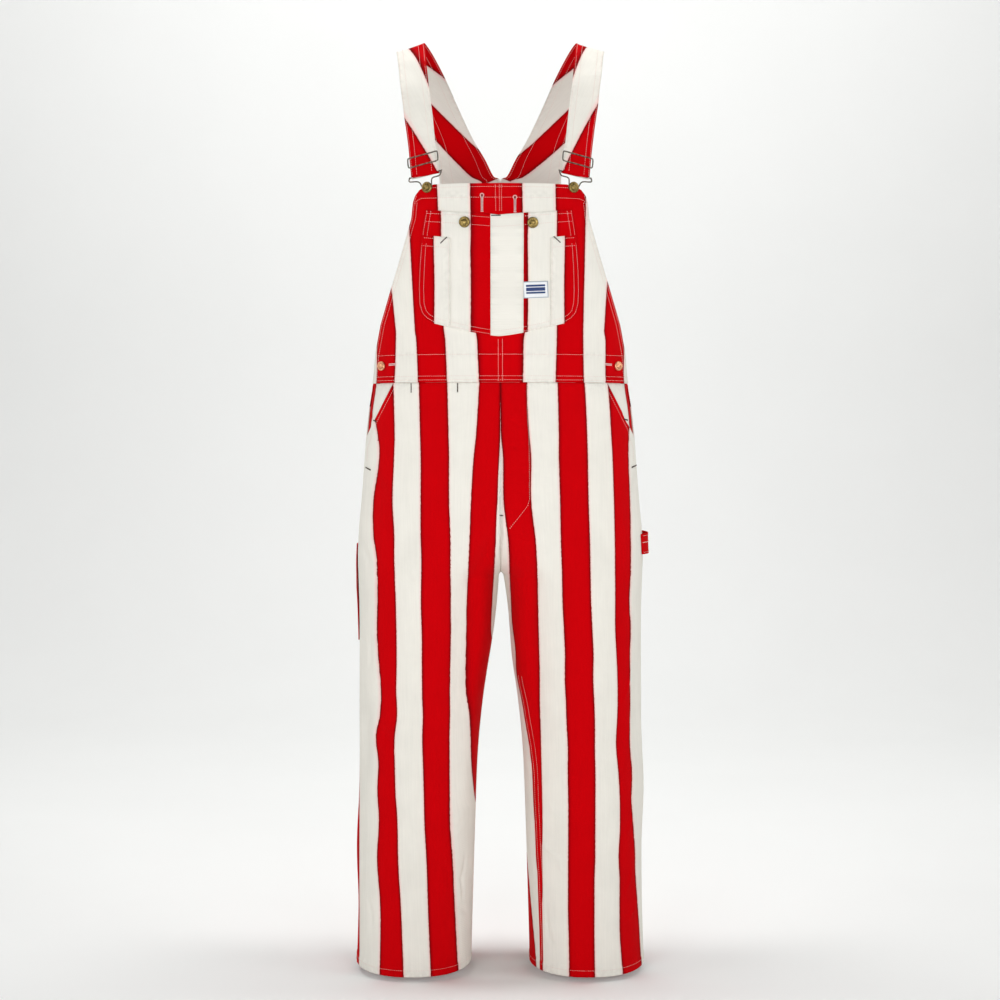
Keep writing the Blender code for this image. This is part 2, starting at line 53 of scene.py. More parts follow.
# heights of the bib's top edge, yoke seam, waist seam, fork and hems below the straps' tops
bibTop = -0.221
yokeZ = -0.290
waistZ = -0.513
forkZ = -0.8045
hemZ = -1.409
squareness = 2.2  # of the round sections; 2 is an ellipse

# in mm: z, half width, inner gap, how far the legs have parted (0 to 1), front depth, back depth
bodyRows = [
    (-190, 184, 0, 0, 128, 124), (-221, 185, 0, 0, 129, 125), (-270, 187, 0, 0, 128, 123),
    (-325, 190, 0, 0, 125, 120), (-375, 194, 0, 0, 121, 117), (-425, 197, 0, 0, 118, 114),
    (-470, 198, 0, 0, 116, 112), (-513, 197.5, 0, 0, 115, 113), (-552, 203, 0, 0, 116.5, 121),
    (-589, 207, 0, 0.02, 118, 129), (-640, 211, 0, 0.1, 118, 135), (-693, 215, 0, 0.28, 117, 136),
    (-735, 219, 0, 0.51, 115, 134), (-770, 220.5, 0, 0.75, 112, 130), (-790, 220.5, 0, 0.89, 111, 127),
    (-804.5, 220, 3, 1, 110, 124), (-857, 218.5, 9, 1, 106, 113), (-923, 218.5, 16, 1, 101, 104),
    (-1003, 219, 27.5, 1, 94, 95), (-1081, 219, 35, 1, 89, 90), (-1190, 220, 39.5, 1, 86, 88),
    (-1305, 221, 43, 1, 84, 86), (-1409, 224, 46, 1, 83, 85),
]
bibEdge = [(z / 1000, x / 1000) for z, x in [
    (-221, 98), (-224, 112), (-228, 120), (-236, 126.5), (-246, 130), (-270, 132.5), (-325, 149.4),
    (-375, 165.5), (-425, 181.5), (-470, 191), (-512.7, 194.8),
]]
backEdge = [(z / 1000, x / 1000) for z, x in [
    (-290, 105.5), (-330, 113), (-375, 128), (-420, 150), (-465, 176), (-513, 197.5),
]]

# z, then where the stripe edges cross each leg's front, in mm from the centre plane;
# the cloth is red between the second and third edge, the fourth and fifth, the sixth and seventh
rightLegStripes = [
    (-510, -16, -1, 31, 79, 122, 161, 205, 260), (-590, -16, 0, 36, 77, 120, 159, 186, 240),
    (-626, -16, 1, 40, 76, 119, 160, 183, 240), (-690, -14, 4, 44, 76, 119, 162, 192, 240),
    (-740, -14, 6, 46, 74, 119, 159, 192, 240), (-780, -14, 8, 48, 74, 118, 159, 186, 240),
    (-840, -14, 12, 51, 74, 119, 157, 185, 240), (-892, -14, 14, 52, 74, 118, 156, 186, 232),
    (-930, -20, 10, 53, 75, 118, 156, 184, 228), (-980, -20, 8, 53, 76, 118, 157, 180, 224),
    (-1015, -20, 4, 48, 76, 117, 156, 182, 221), (-1050, -20, 2, 46, 77, 118, 160, 189, 219.3),
    (-1090, -20, 0, 45, 77, 117, 160, 185, 218.7), (-1130, -20, 0, 42, 77, 116, 159, 187, 218.3),
    (-1180, -20, -6, 37, 77, 115, 156, 185, 217.8), (-1240, -20, -10, 32, 73, 112, 155, 188, 218),
    (-1310, -30, -14, 28, 70, 110, 151, 183, 218.5), (-1409, -30, -18, 24, 65, 106, 147, 184, 218),
]
leftLegStripes = [
    (-510, -46, -1, 40, 85, 126, 161, 205, 260), (-540, -46, 0, 40, 86, 128, 164, 200, 250),
    (-590, -46, 1, 43, 87, 130, 167, 196, 240), (-625, -46, 4, 46, 87, 131, 169, 195, 240),
    (-690, -46, 5, 46, 89, 132, 171, 197, 240), (-750, -40, 12, 53, 90, 134, 172, 197.5, 240),
    (-800, -40, 14, 56, 92, 135, 172.5, 197, 240), (-841, -36, 16, 57, 93, 136, 173, 195, 240),
    (-880, -30, 18, 58, 95, 138, 173, 197.5, 240), (-920, -30, 23, 59, 97, 140, 175, 197, 240),
    (-960, -20, 25, 60, 97, 140, 177, 197, 240), (-1000, -10, 33, 60, 99, 142, 177.5, 198, 240),
    (-1030, -3, 38, 61, 100, 143, 176.5, 197.5, 240), (-1064, 5, 44, 62, 102, 143, 175.5, 197.5, 243),
    (-1106, 17, 49, 63, 102, 144, 179.5, 201, 245), (-1151, 29, 51, 64, 103, 144, 182, 200.5, 245),
    (-1190, 35, 53, 64, 103, 144, 182, 203.5, 246), (-1234, 40.5, 55, 63.5, 103, 144, 180, 207, 250),
    (-1264, 43, 57, 64, 103, 143, 181.5, 207.5, 250), (-1314, 47.5, 59, 64, 103, 143, 181.5, 211.5, 252),
    (-1350, 51, 60.5, 64, 104, 143, 182, 214.5, 256), (-1409, 57, 61.5, 65, 105, 144, 187, 218, 260),
]
bibRightStripes = [
    (-210, -45, 45, 94, 140, 180), (-260, -44, 44, 92, 137, 176),
    (-434, -37, 37, 84, 128, 157), (-449, -35, 35, 82, 126, 157),
    (-514, -32, 32, 79, 123, 159),
]
bibLeftStripes = [
    (-210, -32, 32, 81, 127, 170), (-260, -33, 33, 82, 127, 168),
    (-434, -37, 37, 84, 124, 156), (-449, -35, 35, 84, 124, 158),
    (-514, -34, 34, 82, 125, 158),
]


def interpolate(keys, values, key):
    # a smooth curve through the values, straight past its two ends
    last = len(keys) - 2
    i = 0
    forward = keys[-1] > keys[0]
    while i < last and ((key > keys[i + 1]) if forward else (key < keys[i + 1])):
        i += 1
    span = keys[i + 1] - keys[i]
    t = (key - keys[i]) / span
    slope = (values[i + 1] - values[i]) / span
    before = slope if i == 0 else (values[i + 1] - values[i - 1]) / (keys[i + 1] - keys[i - 1])
    after = slope if i == last else (values[i + 2] - values[i]) / (keys[i + 2] - keys[i])
    if t < 0:
        return values[i] + before * (key - keys[i])
    if t > 1:
        return values[i + 1] + after * (key - keys[i + 1])
    ease = t * t * (3 - 2 * t)
    start = span * before * t * (1 - t) ** 2
    end = span * after * t * t * (t - 1)
    return values[i] + (values[i + 1] - values[i]) * ease + start + end


def lookup(keys, values, key):
    # straight lines between rising keys, level past the ends
    if key <= keys[0]:
        return values[0]
    if key >= keys[-1]:
        return values[-1]
    i = bisect_left(keys, key)
    t = (key - keys[i - 1]) / (keys[i] - keys[i - 1])
    return values[i - 1] + (values[i] - values[i - 1]) * t


def straight(pairs, key):
    rising = sorted(pairs)
    return lookup([k for k, _ in rising], [v for _, v in rising], key)


def signedPower(value, power):
    return math.copysign(abs(value) ** power, value)


def bump(distance, reach):
    return math.cos(min(1.0, abs(distance) / reach) * math.pi / 2) ** 2


def near(distance, reach=0.012):
    return max(0.0, 1 - abs(distance) / reach)


def spaced(start, end, steps):
    return [start + (end - start) * i / steps for i in range(steps + 1)]


bodyColumns = [[row[i] / (1 if i == 3 else 1000) for row in bodyRows] for i in range(6)]
bodyKeys = bodyColumns[0]
sectionCache = {}


def section(z):
    key = round(z, 6)
    if key not in sectionCache:
        width = interpolate(bodyKeys, bodyColumns[1], z)
        inner = max(0.0, interpolate(bodyKeys, bodyColumns[2], z)) if z < forkZ else 0.0
        parted = min(1.0, max(0.0, interpolate(bodyKeys, bodyColumns[3], z))) if z > forkZ else 1.0
        half = (width - inner) / (1 + parted)
        frontDepth = interpolate(bodyKeys, bodyColumns[4], z)
        backDepth = interpolate(bodyKeys, bodyColumns[5], z)
        sectionCache[key] = (width - half, half, parted, frontDepth, backDepth)
    return sectionCache[key]


def centreAngle(z):
    return -math.degrees(math.asin(section(z)[2] ** (squareness / 2)))


def angleAt(x, z):
    centre, half = section(z)[:2]
    share = max(-1.0, min(1.0, (x - centre) / half))
    return math.degrees(math.asin(signedPower(share, squareness / 2)))


# wide soft folds: side, angle, spread, top, bottom, rise
wideFolds = [
    (1, -38, 26, -0.66, -1.18, -0.006), (1, 62, 20, -0.90, -1.12, -0.005),
    (1, 80, 18, -1.02, -1.24, 0.004), (1, 118, 24, -0.86, -1.20, -0.005),
    (1, 215, 24, -0.90, -1.22, -0.006), (-1, -36, 26, -0.64, -1.20, -0.006),
    (-1, 60, 20, -0.96, -1.16, -0.005), (-1, 78, 18, -1.12, -1.34, 0.004),
    (-1, 122, 24, -0.90, -1.24, -0.005), (-1, 213, 24, -0.86, -1.18, -0.006),
    (1, 20, 16, -1.22, -1.42, 0.003), (1, 24, 16, -1.20, -1.42, 0.003),
]

# creases on the front: side, then x and z of both ends in mm, width and depth in mm (a ridge has a
# negative depth)
frontCreases = [
    # wearer's right leg
    (-1, 152, -802, 127, -820, 8, 0.9), (-1, 157, -609, 133, -601, 8, 0.8),
    (-1, 54, -1236, 61, -1275, 7, 1.9), (-1, 61, -1268, 58, -1306, 7, 1.9),
    (-1, 70, -1320, 50, -1330, 9, 1.6), (-1, 72, -1187, 49, -1166, 9, -1.3),
    (-1, 71, -1208, 50, -1186, 9, -1.2), (-1, 204, -1300, 198, -1352, 9, 1.7),
    (-1, 201, -890, 200, -950, 8, 1.4), (-1, 43, -620, 54, -1010, 20, 3.2),
    (-1, 190, -1040, 160, -1062, 18, 1.8), (-1, 196, -655, 176, -690, 16, 1.8),
    (-1, 186, -1170, 150, -1200, 20, 1.3), (-1, 150, -905, 118, -950, 16, 0.9),
    (-1, 100, -1060, 76, -1110, 15, 0.8), (-1, 128, -1260, 92, -1290, 16, 0.8),
    (-1, 90, -690, 82, -790, 12, 0.9), (-1, 212, -760, 196, -800, 12, 1.2),
    # wearer's left leg
    (1, 50, -660, 58, -1010, 18, 2.6), (1, 62, -522, 56, -602, 7, 1.2),
    (1, 66, -632, 56, -694, 8, 1.4), (1, 56, -700, 51, -740, 8, 1.0),
    (1, 62, -1208, 90, -1232, 9, -1.4), (1, 88, -1228, 99, -1262, 8, -1.0),
    (1, 68, -1138, 103, -1176, 11, -1.0), (1, 70, -1306, 81, -1372, 9, 1.5),
    (1, 193, -1202, 201, -1166, 6, -1.5), (1, 190, -1290, 202, -1252, 6, -1.6),
    (1, 188, -1333, 210, -1306, 6, -1.6), (1, 184, -998, 198, -938, 6, -1.6),
    (1, 168, -1030, 198, -1058, 17, 1.8), (1, 166, -1098, 200, -1122, 16, -1.4),
    (1, 150, -930, 176, -962, 14, 1.1), (1, 160, -1200, 128, -1232, 16, 0.9),
    (1, 102, -960, 86, -1030, 14, 0.9), (1, 130, -640, 122, -760, 14, 0.8),
    (1, 210, -650, 200, -700, 12, 1.3), (1, 150, -1290, 118, -1330, 15, 0.9),
    # the fly's cross ripples and the pull under it
    (1, 6, -529, 39, -531, 8, 0.9), (1, 6, -571, 40, -574, 8, 0.8), (1, 7, -605, 41, -607, 8, 0.9),
    (1, 7, -643, 42, -645, 8, 0.9), (1, 8, -671, 42, -673, 7, 0.7), (1, 9, -700, 43, -703, 8, 0.9),
    (1, 14, -737, 48, -742, 9, 0.9), (1, 4, -750, 16, -812, 8, 1.0), (-1, 4, -700, 14, -812, 9, 1.8),
    # hip facings
    (1, 176, -528, 196, -560, 8, 1.4), (1, 184, -560, 200, -575, 8, 1.2), (-1, 200, -560, 186, -600, 8, 1.0),
    # bib
    (-1, 52, -300, 20, -390, 14, -0.9), (1, 60, -268, 48, -330, 9, 0.9), (-1, 120, -300, 112, -430, 16, 0.9),
    (1, 116, -300, 120, -440, 16, 0.9), (-1, 140, -370, 168, -470, 12, 1.0), (1, 142, -360, 168, -470, 12, 1.0),
    (-1, 62, -455, 52, -500, 12, 0.7), (1, 96, -452, 104, -500, 12, 0.7),
]
# creases round the sides and back: side, then angle and z (mm) of both ends, width and depth in mm
backCreases = [
    (-1, 240, -815, 190, -770, 16, 2.6), (-1, 238, -850, 186, -812, 18, 2.2),
    (-1, 235, -900, 196, -880, 15, 1.6), (-1, 122, -1010, 172, -1034, 17, 2.0),
    (-1, 210, -1042, 160, -1070, 18, 2.0), (-1, 115, -1085, 150, -1100, 14, 1.4),
    (-1, 118, -640, 148, -668, 14, 1.4), (-1, 200, -1280, 182, -1350, 12, 1.5),
    (-1, 130, -1240, 152, -1300, 14, 1.3), (-1, 150, -560, 172, -590, 14, 1.0),
    (-1, 128, -420, 150, -480, 16, 1.2), (-1, 165, -700, 158, -800, 16, 1.4),
    (1, 240, -812, 188, -775, 16, 2.4), (1, 238, -846, 184, -815, 18, 2.3), (1, 232, -905, 198, -878, 15, 1.6),
    (1, 124, -1002, 170, -1030, 18, 2.0), (1, 208, -1035, 164, -1062, 18, 2.1),
    (1, 112, -1078, 146, -1092, 14, 1.5), (1, 120, -632, 150, -662, 14, 1.3),
    (1, 196, -1270, 178, -1345, 13, 1.5), (1, 132, -1236, 150, -1310, 14, 1.2),
    (1, 148, -556, 170, -584, 14, 1.0), (1, 130, -425, 148, -486, 16, 1.2), (1, 166, -706, 160, -796, 16, 1.3),
    (-1, 96, -1140, 130, -1165, 14, 1.3), (1, 98, -1150, 128, -1180, 14, 1.2),
    (1, 104, -900, 126, -960, 14, 1.2),
]
degree = 0.0019  # metres of cloth per degree round a leg
creaseGain = 1.3
forkAside = 0.0026  # the fork hangs a little to the wearer's left


def creaseLine(side, a0, z0, a1, z1, width, depth):
    a0, a1, z0, z1, width, depth = a0 * degree, a1 * degree, z0 / 1000, z1 / 1000, width / 1000, depth / 1000
    return side, a0, z0, a1 - a0, z1 - z0, width, depth, max(z0, z1) + width, min(z0, z1) - width


creases = [
    creaseLine(s, angleAt(x0 / 1000, z0 / 1000), z0, angleAt(x1 / 1000, z1 / 1000), z1, w, d)
    for s, x0, z0, x1, z1, w, d in frontCreases
] + [creaseLine(*row) for row in backCreases]
creaseRows = {}


def creaseDepth(side, angle, z):
    key = (side, round(z, 5))
    if key not in creaseRows:
        creaseRows[key] = [row for row in creases if row[0] == side and row[8] < z < row[7]]
    total = 0.0
    for _, a0, z0, da, dz, width, depth, _, _ in creaseRows[key]:
        long = math.hypot(da, dz)
        pa, pz = angle * degree - a0, z - z0
        t = (pa * da + pz * dz) / (long * long)
        if -0.12 < t < 1.12:
            bow = 0.10 * long * math.sin(math.pi * max(0.0, min(1.0, t)))  # each one curves a little
            off = abs((pa * dz - pz * da) / long - bow)
            if off < width:
                total += creaseGain * depth * bump(off, width) * math.sin(math.pi * (t + 0.12) / 1.24) ** 1.2
    return total


def bodyPoint(side, angle, z, half=0):
    # the outer surface; the angle runs from the front, past the side, to the back
    centre, halfWidth, _, frontDepth, backDepth = section(z)
    sine = math.sin(math.radians(angle))
    cosine = math.cos(math.radians(angle))
    depth = frontDepth if cosine >= 0 else backDepth
    across = halfWidth * signedPower(sine, 2 / squareness)
    along = -depth * signedPower(cosine, 2 / squareness)
    rise = -creaseDepth(side, angle, z)
    for s, middle, spread, top, bottom, height in wideFolds:
        if s == side and bottom < z < top:
            rise += height * bump(angle - middle, spread) * bump(z - (top + bottom) / 2, (top - bottom) / 2)
    # nothing pulls the two halves apart above the fork
    rise *= min(1.0, (centre + across) / 0.015 + max(0.0, forkZ - z) / 0.03)
    spread = 1 + rise / math.hypot(across, along)
    aside = forkAside * bump(z + 0.86, 0.10) * max(0.0, -sine) ** 2
    droop = 0.006 * max(0.0, cosine) * max(0.0, -1.300 - z) / (-1.300 - hemZ)
    return Vector(((centre + across * spread) * side + aside, along * spread + half * seamGap / 2, z - droop))


def body(side, angle, z, lift=0.0, half=0):
    # a point lifted off the surface, with its outward normal
    along = bodyPoint(side, angle + 0.5, z) - bodyPoint(side, angle - 0.5, z)
    down = bodyPoint(side, angle, z - 0.001) - bodyPoint(side, angle, z + 0.001)
    normal = down.cross(along).normalized() * side
    return bodyPoint(side, angle, z, half) + normal * lift, normal


def front(x, z, lift=0.0):
    side = 1 if x >= 0 else -1
    return body(side, angleAt(abs(x), z), z, lift)


def newPiece(name, source, finish=None, slot=None, node=None):
    # a smooth object from a bmesh or a mesh; one with a slot rides on the body
    mesh = source
    if isinstance(source, bmesh.types.BMesh):
        mesh = bpy.data.meshes.new(name)
        source.to_mesh(mesh)
        source.free()
    mesh.shade_smooth()
    piece = bpy.data.objects.new(name, mesh)
    bpy.context.scene.collection.objects.link(piece)
    if finish:
        mesh.materials.append(finish)
    if slot:
        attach(piece, "root")
    if node:
        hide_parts(node)
    return piece


def makeCloth(node, acrossList, downList, place, flip=False, thickness=patchCloth):
    # a grid laid through place(across, down) -> point, stripe, length, pucker; then its thickness inwards
    bm = bmesh.new()
    columns, rows = len(acrossList) - 1, len(downList) - 1
    bmesh.ops.create_grid(bm, x_segments=columns, y_segments=rows, size=0.5)
    stripeLayer = bm.loops.layers.uv.new("cloth")
    puckerLayer = bm.verts.layers.float.new("pucker")
    spots = {}
    for vert in bm.verts:
        i, j = round((vert.co.x + 0.5) * columns), round((0.5 - vert.co.y) * rows)
        point, stripe, length, pucker = place(acrossList[i], downList[j])
        spots[vert] = (stripe, length)
        vert[puckerLayer] = pucker
        vert.co = point
    for face in bm.faces:
        for loop in face.loops:
            loop[stripeLayer].uv = spots[loop.vert]
    if flip:
        bmesh.ops.reverse_faces(bm, faces=bm.faces)
    piece = newPiece(node + "_cloth", bm)
    shell = piece.modifiers.new("thickness", "SOLIDIFY")
    shell.thickness, shell.offset, shell.use_even_offset = thickness, -1, False
    return piece


arcCache = {}


def arc(side, z, first, last, tag):
    # angles round the section, how much cloth lies between them, and their distance from the centre plane
    key = (side, round(z, 5), tag)
    if key not in arcCache:
        angles = spaced(first, last, 90)
        points = [bodyPoint(side, a, z) for a in angles]
        lengths = [0.0]
        for p, q in zip(points, points[1:]):
            lengths.append(lengths[-1] + math.hypot(q.x - p.x, q.y - p.y))
        arcCache[key] = (angles, lengths, [abs(p.x) for p in points])
    return arcCache[key]


edgeCache = {}


def stripeAt(here, edges):
    # the stripe's number and how far across it, running on past both ends at its plain width
    if here < edges[0]:
        return (here - edges[0]) / stripeWidth
    for i in range(len(edges) - 1):
        if here <= edges[i + 1]:
            return i + (here - edges[i]) / (edges[i + 1] - edges[i])
    return len(edges) - 1 + (here - edges[-1]) / stripeWidth


def frontStripe(table, side, z, angle, firstIndex):
    key = (side, round(z, 5), len(table))
    angles, lengths, xs = arc(side, z, centreAngle(z), 90, "front")
    if key not in edgeCache:
        edges = []
        for i in range(1, len(table[0])):
            x = interpolate([row[0] for row in table], [row[i] for row in table], z * 1000) / 1000
            edge = x - xs[0] if x <= xs[0] else lookup(xs, lengths, x) + max(0.0, x - xs[-1])
            edges.append(max(edge, edges[-1] + 0.0005) if edges else edge)
        edgeCache[key] = edges
    return firstIndex + stripeAt(lookup(angles, lengths, angle), edgeCache[key])


# the hip pocket's slanted mouth, from its place on the waist seam down to the side
hipMouth = {"x": 0.1610, "end": -0.600}


def mouthX(z):
    centre, half = section(hipMouth["end"])[:2]
    return hipMouth["x"] + (centre + half - hipMouth["x"]) * (waistZ - z) / (waistZ - hipMouth["end"])


# the hem turns up inside on a small roll
hem = {"roll": 0.00165, "turning": 0.0125, "bulge": 0.0007, "ripple": 0.00045, "rippleLength": 0.019}


def hemPlace(side, angle, z, half):
    # past the hem line, z keeps falling in the list while the cloth goes round the roll and up inside
    beyond = hemZ - z
    if beyond <= 0:
        wave = math.sin(angle * degree * 2 * math.pi / hem["rippleLength"] + 3 * side)
        swell = near(max(0.0, z - hemZ - 0.011), 0.003)
        return body(side, angle, z, hem["ripple"] * wave * near(z - hemZ, 0.03) + hem["bulge"] * swell, half)[0]
    point, normal = body(side, angle, hemZ, hem["bulge"], half)
    turn = beyond / hem["roll"]
    if turn < math.pi:
        return point - normal * hem["roll"] * (1 - math.cos(turn)) - Vector((0, 0, hem["roll"] * math.sin(turn)))
    return point - normal * 2 * hem["roll"] + Vector((0, 0, beyond - math.pi * hem["roll"]))


def hemStations():
    roll = math.pi * hem["roll"]
    return [hemZ + 0.011, hemZ + 0.0075, hemZ + 0.004, hemZ + 0.0015, hemZ] + [
        hemZ - roll * i / 5 for i in range(1, 6)] + [hemZ - roll - 0.004, hemZ - roll - hem["turning"]]


legFront = {"columns": 84, "rows": 262, "flat": (0.345, 0.935), "area": 0.275}
# the fly laps over the centre: where its edge lies at the waist and at its end, and how proud it stands
fly = {"edge": [(-0.735, 0.0050), (waistZ, 0.0020)], "end": -0.738, "proud": 0.0014, "fade": 0.024}


def flyLift(x, z):
    return fly["proud"] * near(max(0.0, fly["end"] - z), 0.012) * near(x - straight(fly["edge"], z), fly["fade"])


def addLegFront(side, name):
    table = leftLegStripes if side > 0 else rightLegStripes
    top = waistZ - seamGap / 2
    acrossList = spaced(0, 1, legFront["columns"])
    if side > 0:
        acrossList = [0, 0.010, 0.0115, 0.013, 0.022, 0.035] + spaced(0.05, 1, legFront["columns"] - 6)

    def place(across, z):
        level = max(z, hemZ)
        end = angleAt(mouthX(level), level) if level > hipMouth["end"] else 90.0
        start = centreAngle(level)
        angle = start + (end - start) * across
        lift = 0.0
        if side > 0 and level > forkZ + 0.004:
            edge = straight(fly["edge"], level)
            steps = [0, edge - 0.0004, edge, edge + 0.0004, edge + 0.002, edge + 0.005, edge + 0.009]
            x = lookup([0, 0.010, 0.0115, 0.013, 0.022, 0.035, 0.05], steps, across)
            weight = near(max(0.0, -0.752 - level), 0.04)
            flyAngle = angleAt(x, level)
            if across > 0.05:
                last = angleAt(edge + 0.009, level)
                flyAngle = last + (end - last) * (across - 0.05) / 0.95
            angle = angle * (1 - weight) + flyAngle * weight
            if across >= 0.0115:
                lift = flyLift(x if across < 0.05 else abs(bodyPoint(1, angle, level).x), level)
        point = hemPlace(side, angle, z, -1)
        angles, lengths, _ = arc(side, level, start, 90, "front")
        here = lookup(angles, lengths, angle)
        mouth = lookup(angles, lengths, end) - here
        pucker = max(near(level - waistZ, 0.016), near(level - hemZ, 0.02), near(mouth, 0.010), near(here, 0.008))
        if level > hipMouth["end"]:
            lift += 0.0006 * near(mouth, 0.007)  # the mouth's turned edge
        if lift:
            point += body(side, angle, level)[1] * lift
        return point, frontStripe(table, side, level, angle, -1), -z, pucker

    stations = spaced(top, hemZ + 0.014, legFront["rows"]) + hemStations()
    return makeCloth("leg_front_" + name, acrossList, stations, place, side < 0, cloth)


# the stripes stand along a plumb grain line down the back of the leg
back = {"columns": 78, "rows": 318, "grain": 0.095, "grainStripe": 9.6, "flat": (0.380, 1.150), "area": 0.310}


def addBack(side, name):
    def place(across, z):
        level = max(z, hemZ)
        start = 180 - angleAt(straight(backEdge, level), level) if level > waistZ else 90.0
        finish = 180 - centreAngle(level)
        angle = start + (finish - start) * across
        angles, lengths, xs = arc(side, level, start, finish, "back")
        here = lookup(angles, lengths, angle)
        stripe = back["grainStripe"] + (here - lookup(xs[::-1], lengths[::-1], back["grain"])) / stripeWidth
        pucker = max(near(level - hemZ, 0.02), near(lengths[-1] - here), near(here), near(level - yokeZ, 0.014))
        return hemPlace(side, angle, z, 1), stripe, -z, pucker

    stations = spaced(yokeZ, hemZ + 0.014, back["rows"]) + hemStations()
    return makeCloth("back_" + name, spaced(0, 1, back["columns"]), stations, place, side < 0, cloth)


bibHalf = {"columns": 60, "rows": 104, "flat": (0.220, 0.330), "area": 0.056, "overlap": 0.0009, "lap": 0.0004,
           "bandZ": -0.4713, "facingZ": -0.238}


def bibRise(x, z):
    # the bottom hem laps over the legs' tops, and the hems are thicker than the rest
    hems = max(near(z - bibTop, 0.012), near(straight(bibEdge, z) - abs(x), 0.009))
    return bibHalf["overlap"] * near(z - waistZ, 0.022) + 0.0005 * hems + 0.0006 * near(x, 0.009)


def addBib(side, name):
    table = bibLeftStripes if side > 0 else bibRightStripes
    bottom = waistZ + seamGap / 2

    def place(across, z):
        edge = straight(bibEdge, z)
        angle = angleAt(edge, z) * across
        inside = edge * (1 - across)
        lift = bibRise(edge * across, z) + bibHalf["lap"] * near(edge * across, 0.003) * (1 + side) / 4
        pucker = max(near(z - bottom), near(z - bibHalf["bandZ"], 0.008), near(z - bibHalf["facingZ"], 0.010),
                     near(inside), near(edge * across, 0.010))
        point = body(side, angle, z, lift)[0]
        return point, frontStripe(table, side, z, angle, 0), -z, pucker

    stations = [bibTop - drop for drop in (0, 0.0007, 0.0015, 0.003, 0.0048, 0.007, 0.01)]
    stations += spaced(bibTop - 0.013, bottom, bibHalf["rows"])
    acrossList = [0, 0.003] + spaced(0.012, 1, bibHalf["columns"])
    piece = makeCloth("bib_" + name, acrossList, stations, place, side < 0, cloth)
    for edge in piece.data.edges:  # keeps the lapped centre crisp
        if all(abs(piece.data.vertices[v].co.x) < bibHalf["lap"] for v in edge.vertices):
            edge.use_edge_sharp = True
    return piece


facing = {"edge": 76, "bottom": -0.640, "flat": (0.080, 0.140)}


def addFacing(side, name):
    top = waistZ - seamGap / 2

    def place(across, z):
        start = angleAt(mouthX(max(z, hipMouth["end"])) - 0.015, z)
        angle = start + (90 - start) * across
        point = body(side, angle, z, -cloth - 0.001, -1)[0]
        stripe = 6 + (angle - facing["edge"]) * degree / stripeWidth  # its outer stripe shows at the hip
        return point, stripe, -z, near(z - top, 0.02)

    return makeCloth("hip_facing_" + name, spaced(0, 1, 20), spaced(top, facing["bottom"], 36), place, side < 0)


# neck edge x y z and armhole edge x y z in mm, and how it rounds between them, from yoke to hook
strapRows = [
    (0, 121.8, -289.7, 105.5, 104.9, -289.7, 2.2), (0, 123.6, -255, 101, 107.8, -255, 2.2),
    (0, 125, -222, 98.5, 109.2, -222, 2.2), (0, 124, -183.5, 97, 108.5, -193.5, 2.1),
    (11, 121.5, -176, 97.5, 106.5, -176, 2), (24.6, 118, -150, 99.5, 103, -150, 1.8),
    (43, 110, -120, 106, 96, -119, 1.5), (63.5, 94, -79.6, 122.5, 82, -80.6, 1.2),
    (86.3, 62, -32.6, 141, 55, -38.6, 1), (104.5, 32, -2, 153, 30, -13, 1),
    (116, 0, 9.5, 159, 0, -4, 1), (114.4, -24, -4, 157.2, -20, -15, 1),
    (112.1, -50, -26, 154.2, -43, -35, 1), (108.8, -71, -55, 150.4, -62, -64, 1),
    (104.3, -87, -89, 146, -76, -97.5, 1), (100, -99, -125, 140.7, -87, -133.5, 1),
    (96.5, -108, -158, 136.3, -94, -166.5, 1), (94.2, -113, -179, 134.2, -98, -187.5, 1),
    (92, -118, -201.3, 132.2, -100.5, -208.7, 1),
]
strapEnd = {"bar": 18, "shoulder": 10, "foldRadius": 0.0026, "tail": 0.024}


def strapFrames():
    rows = [[v / 1000 for v in row[:6]] + [row[6]] for row in strapRows]
    neck, arm = Vector(rows[-1][0:3]), Vector(rows[-1][3:6])
    down = (neck - Vector(rows[-2][0:3]) + arm - Vector(rows[-2][3:6])).normalized()
    inward = (arm - neck).cross(down).normalized()
    for i in range(1, 5):
        turn = math.pi * i / 4
        step = (down * math.sin(turn) + inward * (1 - math.cos(turn))) * strapEnd["foldRadius"]
        rows.append([*(neck + step), *(arm + step), 1.0])
    step += -down * strapEnd["tail"]
    rows.append([*(neck + step), *(arm + step), 1.0])
    return rows, inward


strapTable, strapInward = strapFrames()
strapKeys = list(range(len(strapTable)))
strapColumns = [[row[i] for row in strapTable] for i in range(7)]
strapCache = {}


def strapPoint(across, row):
    key = round(row, 4)
    if key not in strapCache:
        strapCache[key] = [interpolate(strapKeys, column, row) for column in strapColumns]
    neckX, neckY, neckZ, armX, armY, armZ, rounding = strapCache[key]
    neckX = max(0.0, neckX)
    return Vector((neckX + (armX - neckX) * across + seamGap / 2,
                   neckY + (armY - neckY) * signedPower(across, rounding), neckZ + (armZ - neckZ) * across))


def strap(side, across, row, lift=0.0):
    width = strapPoint(across + 0.02, row) - strapPoint(across - 0.02, row)
    long = strapPoint(across, row + 0.02) - strapPoint(across, row - 0.02)
    normal = long.cross(width).normalized()
    point = strapPoint(across, row) + normal * lift
    return Vector((point.x * side, point.y, point.z)), Vector((normal.x * side, normal.y, normal.z))


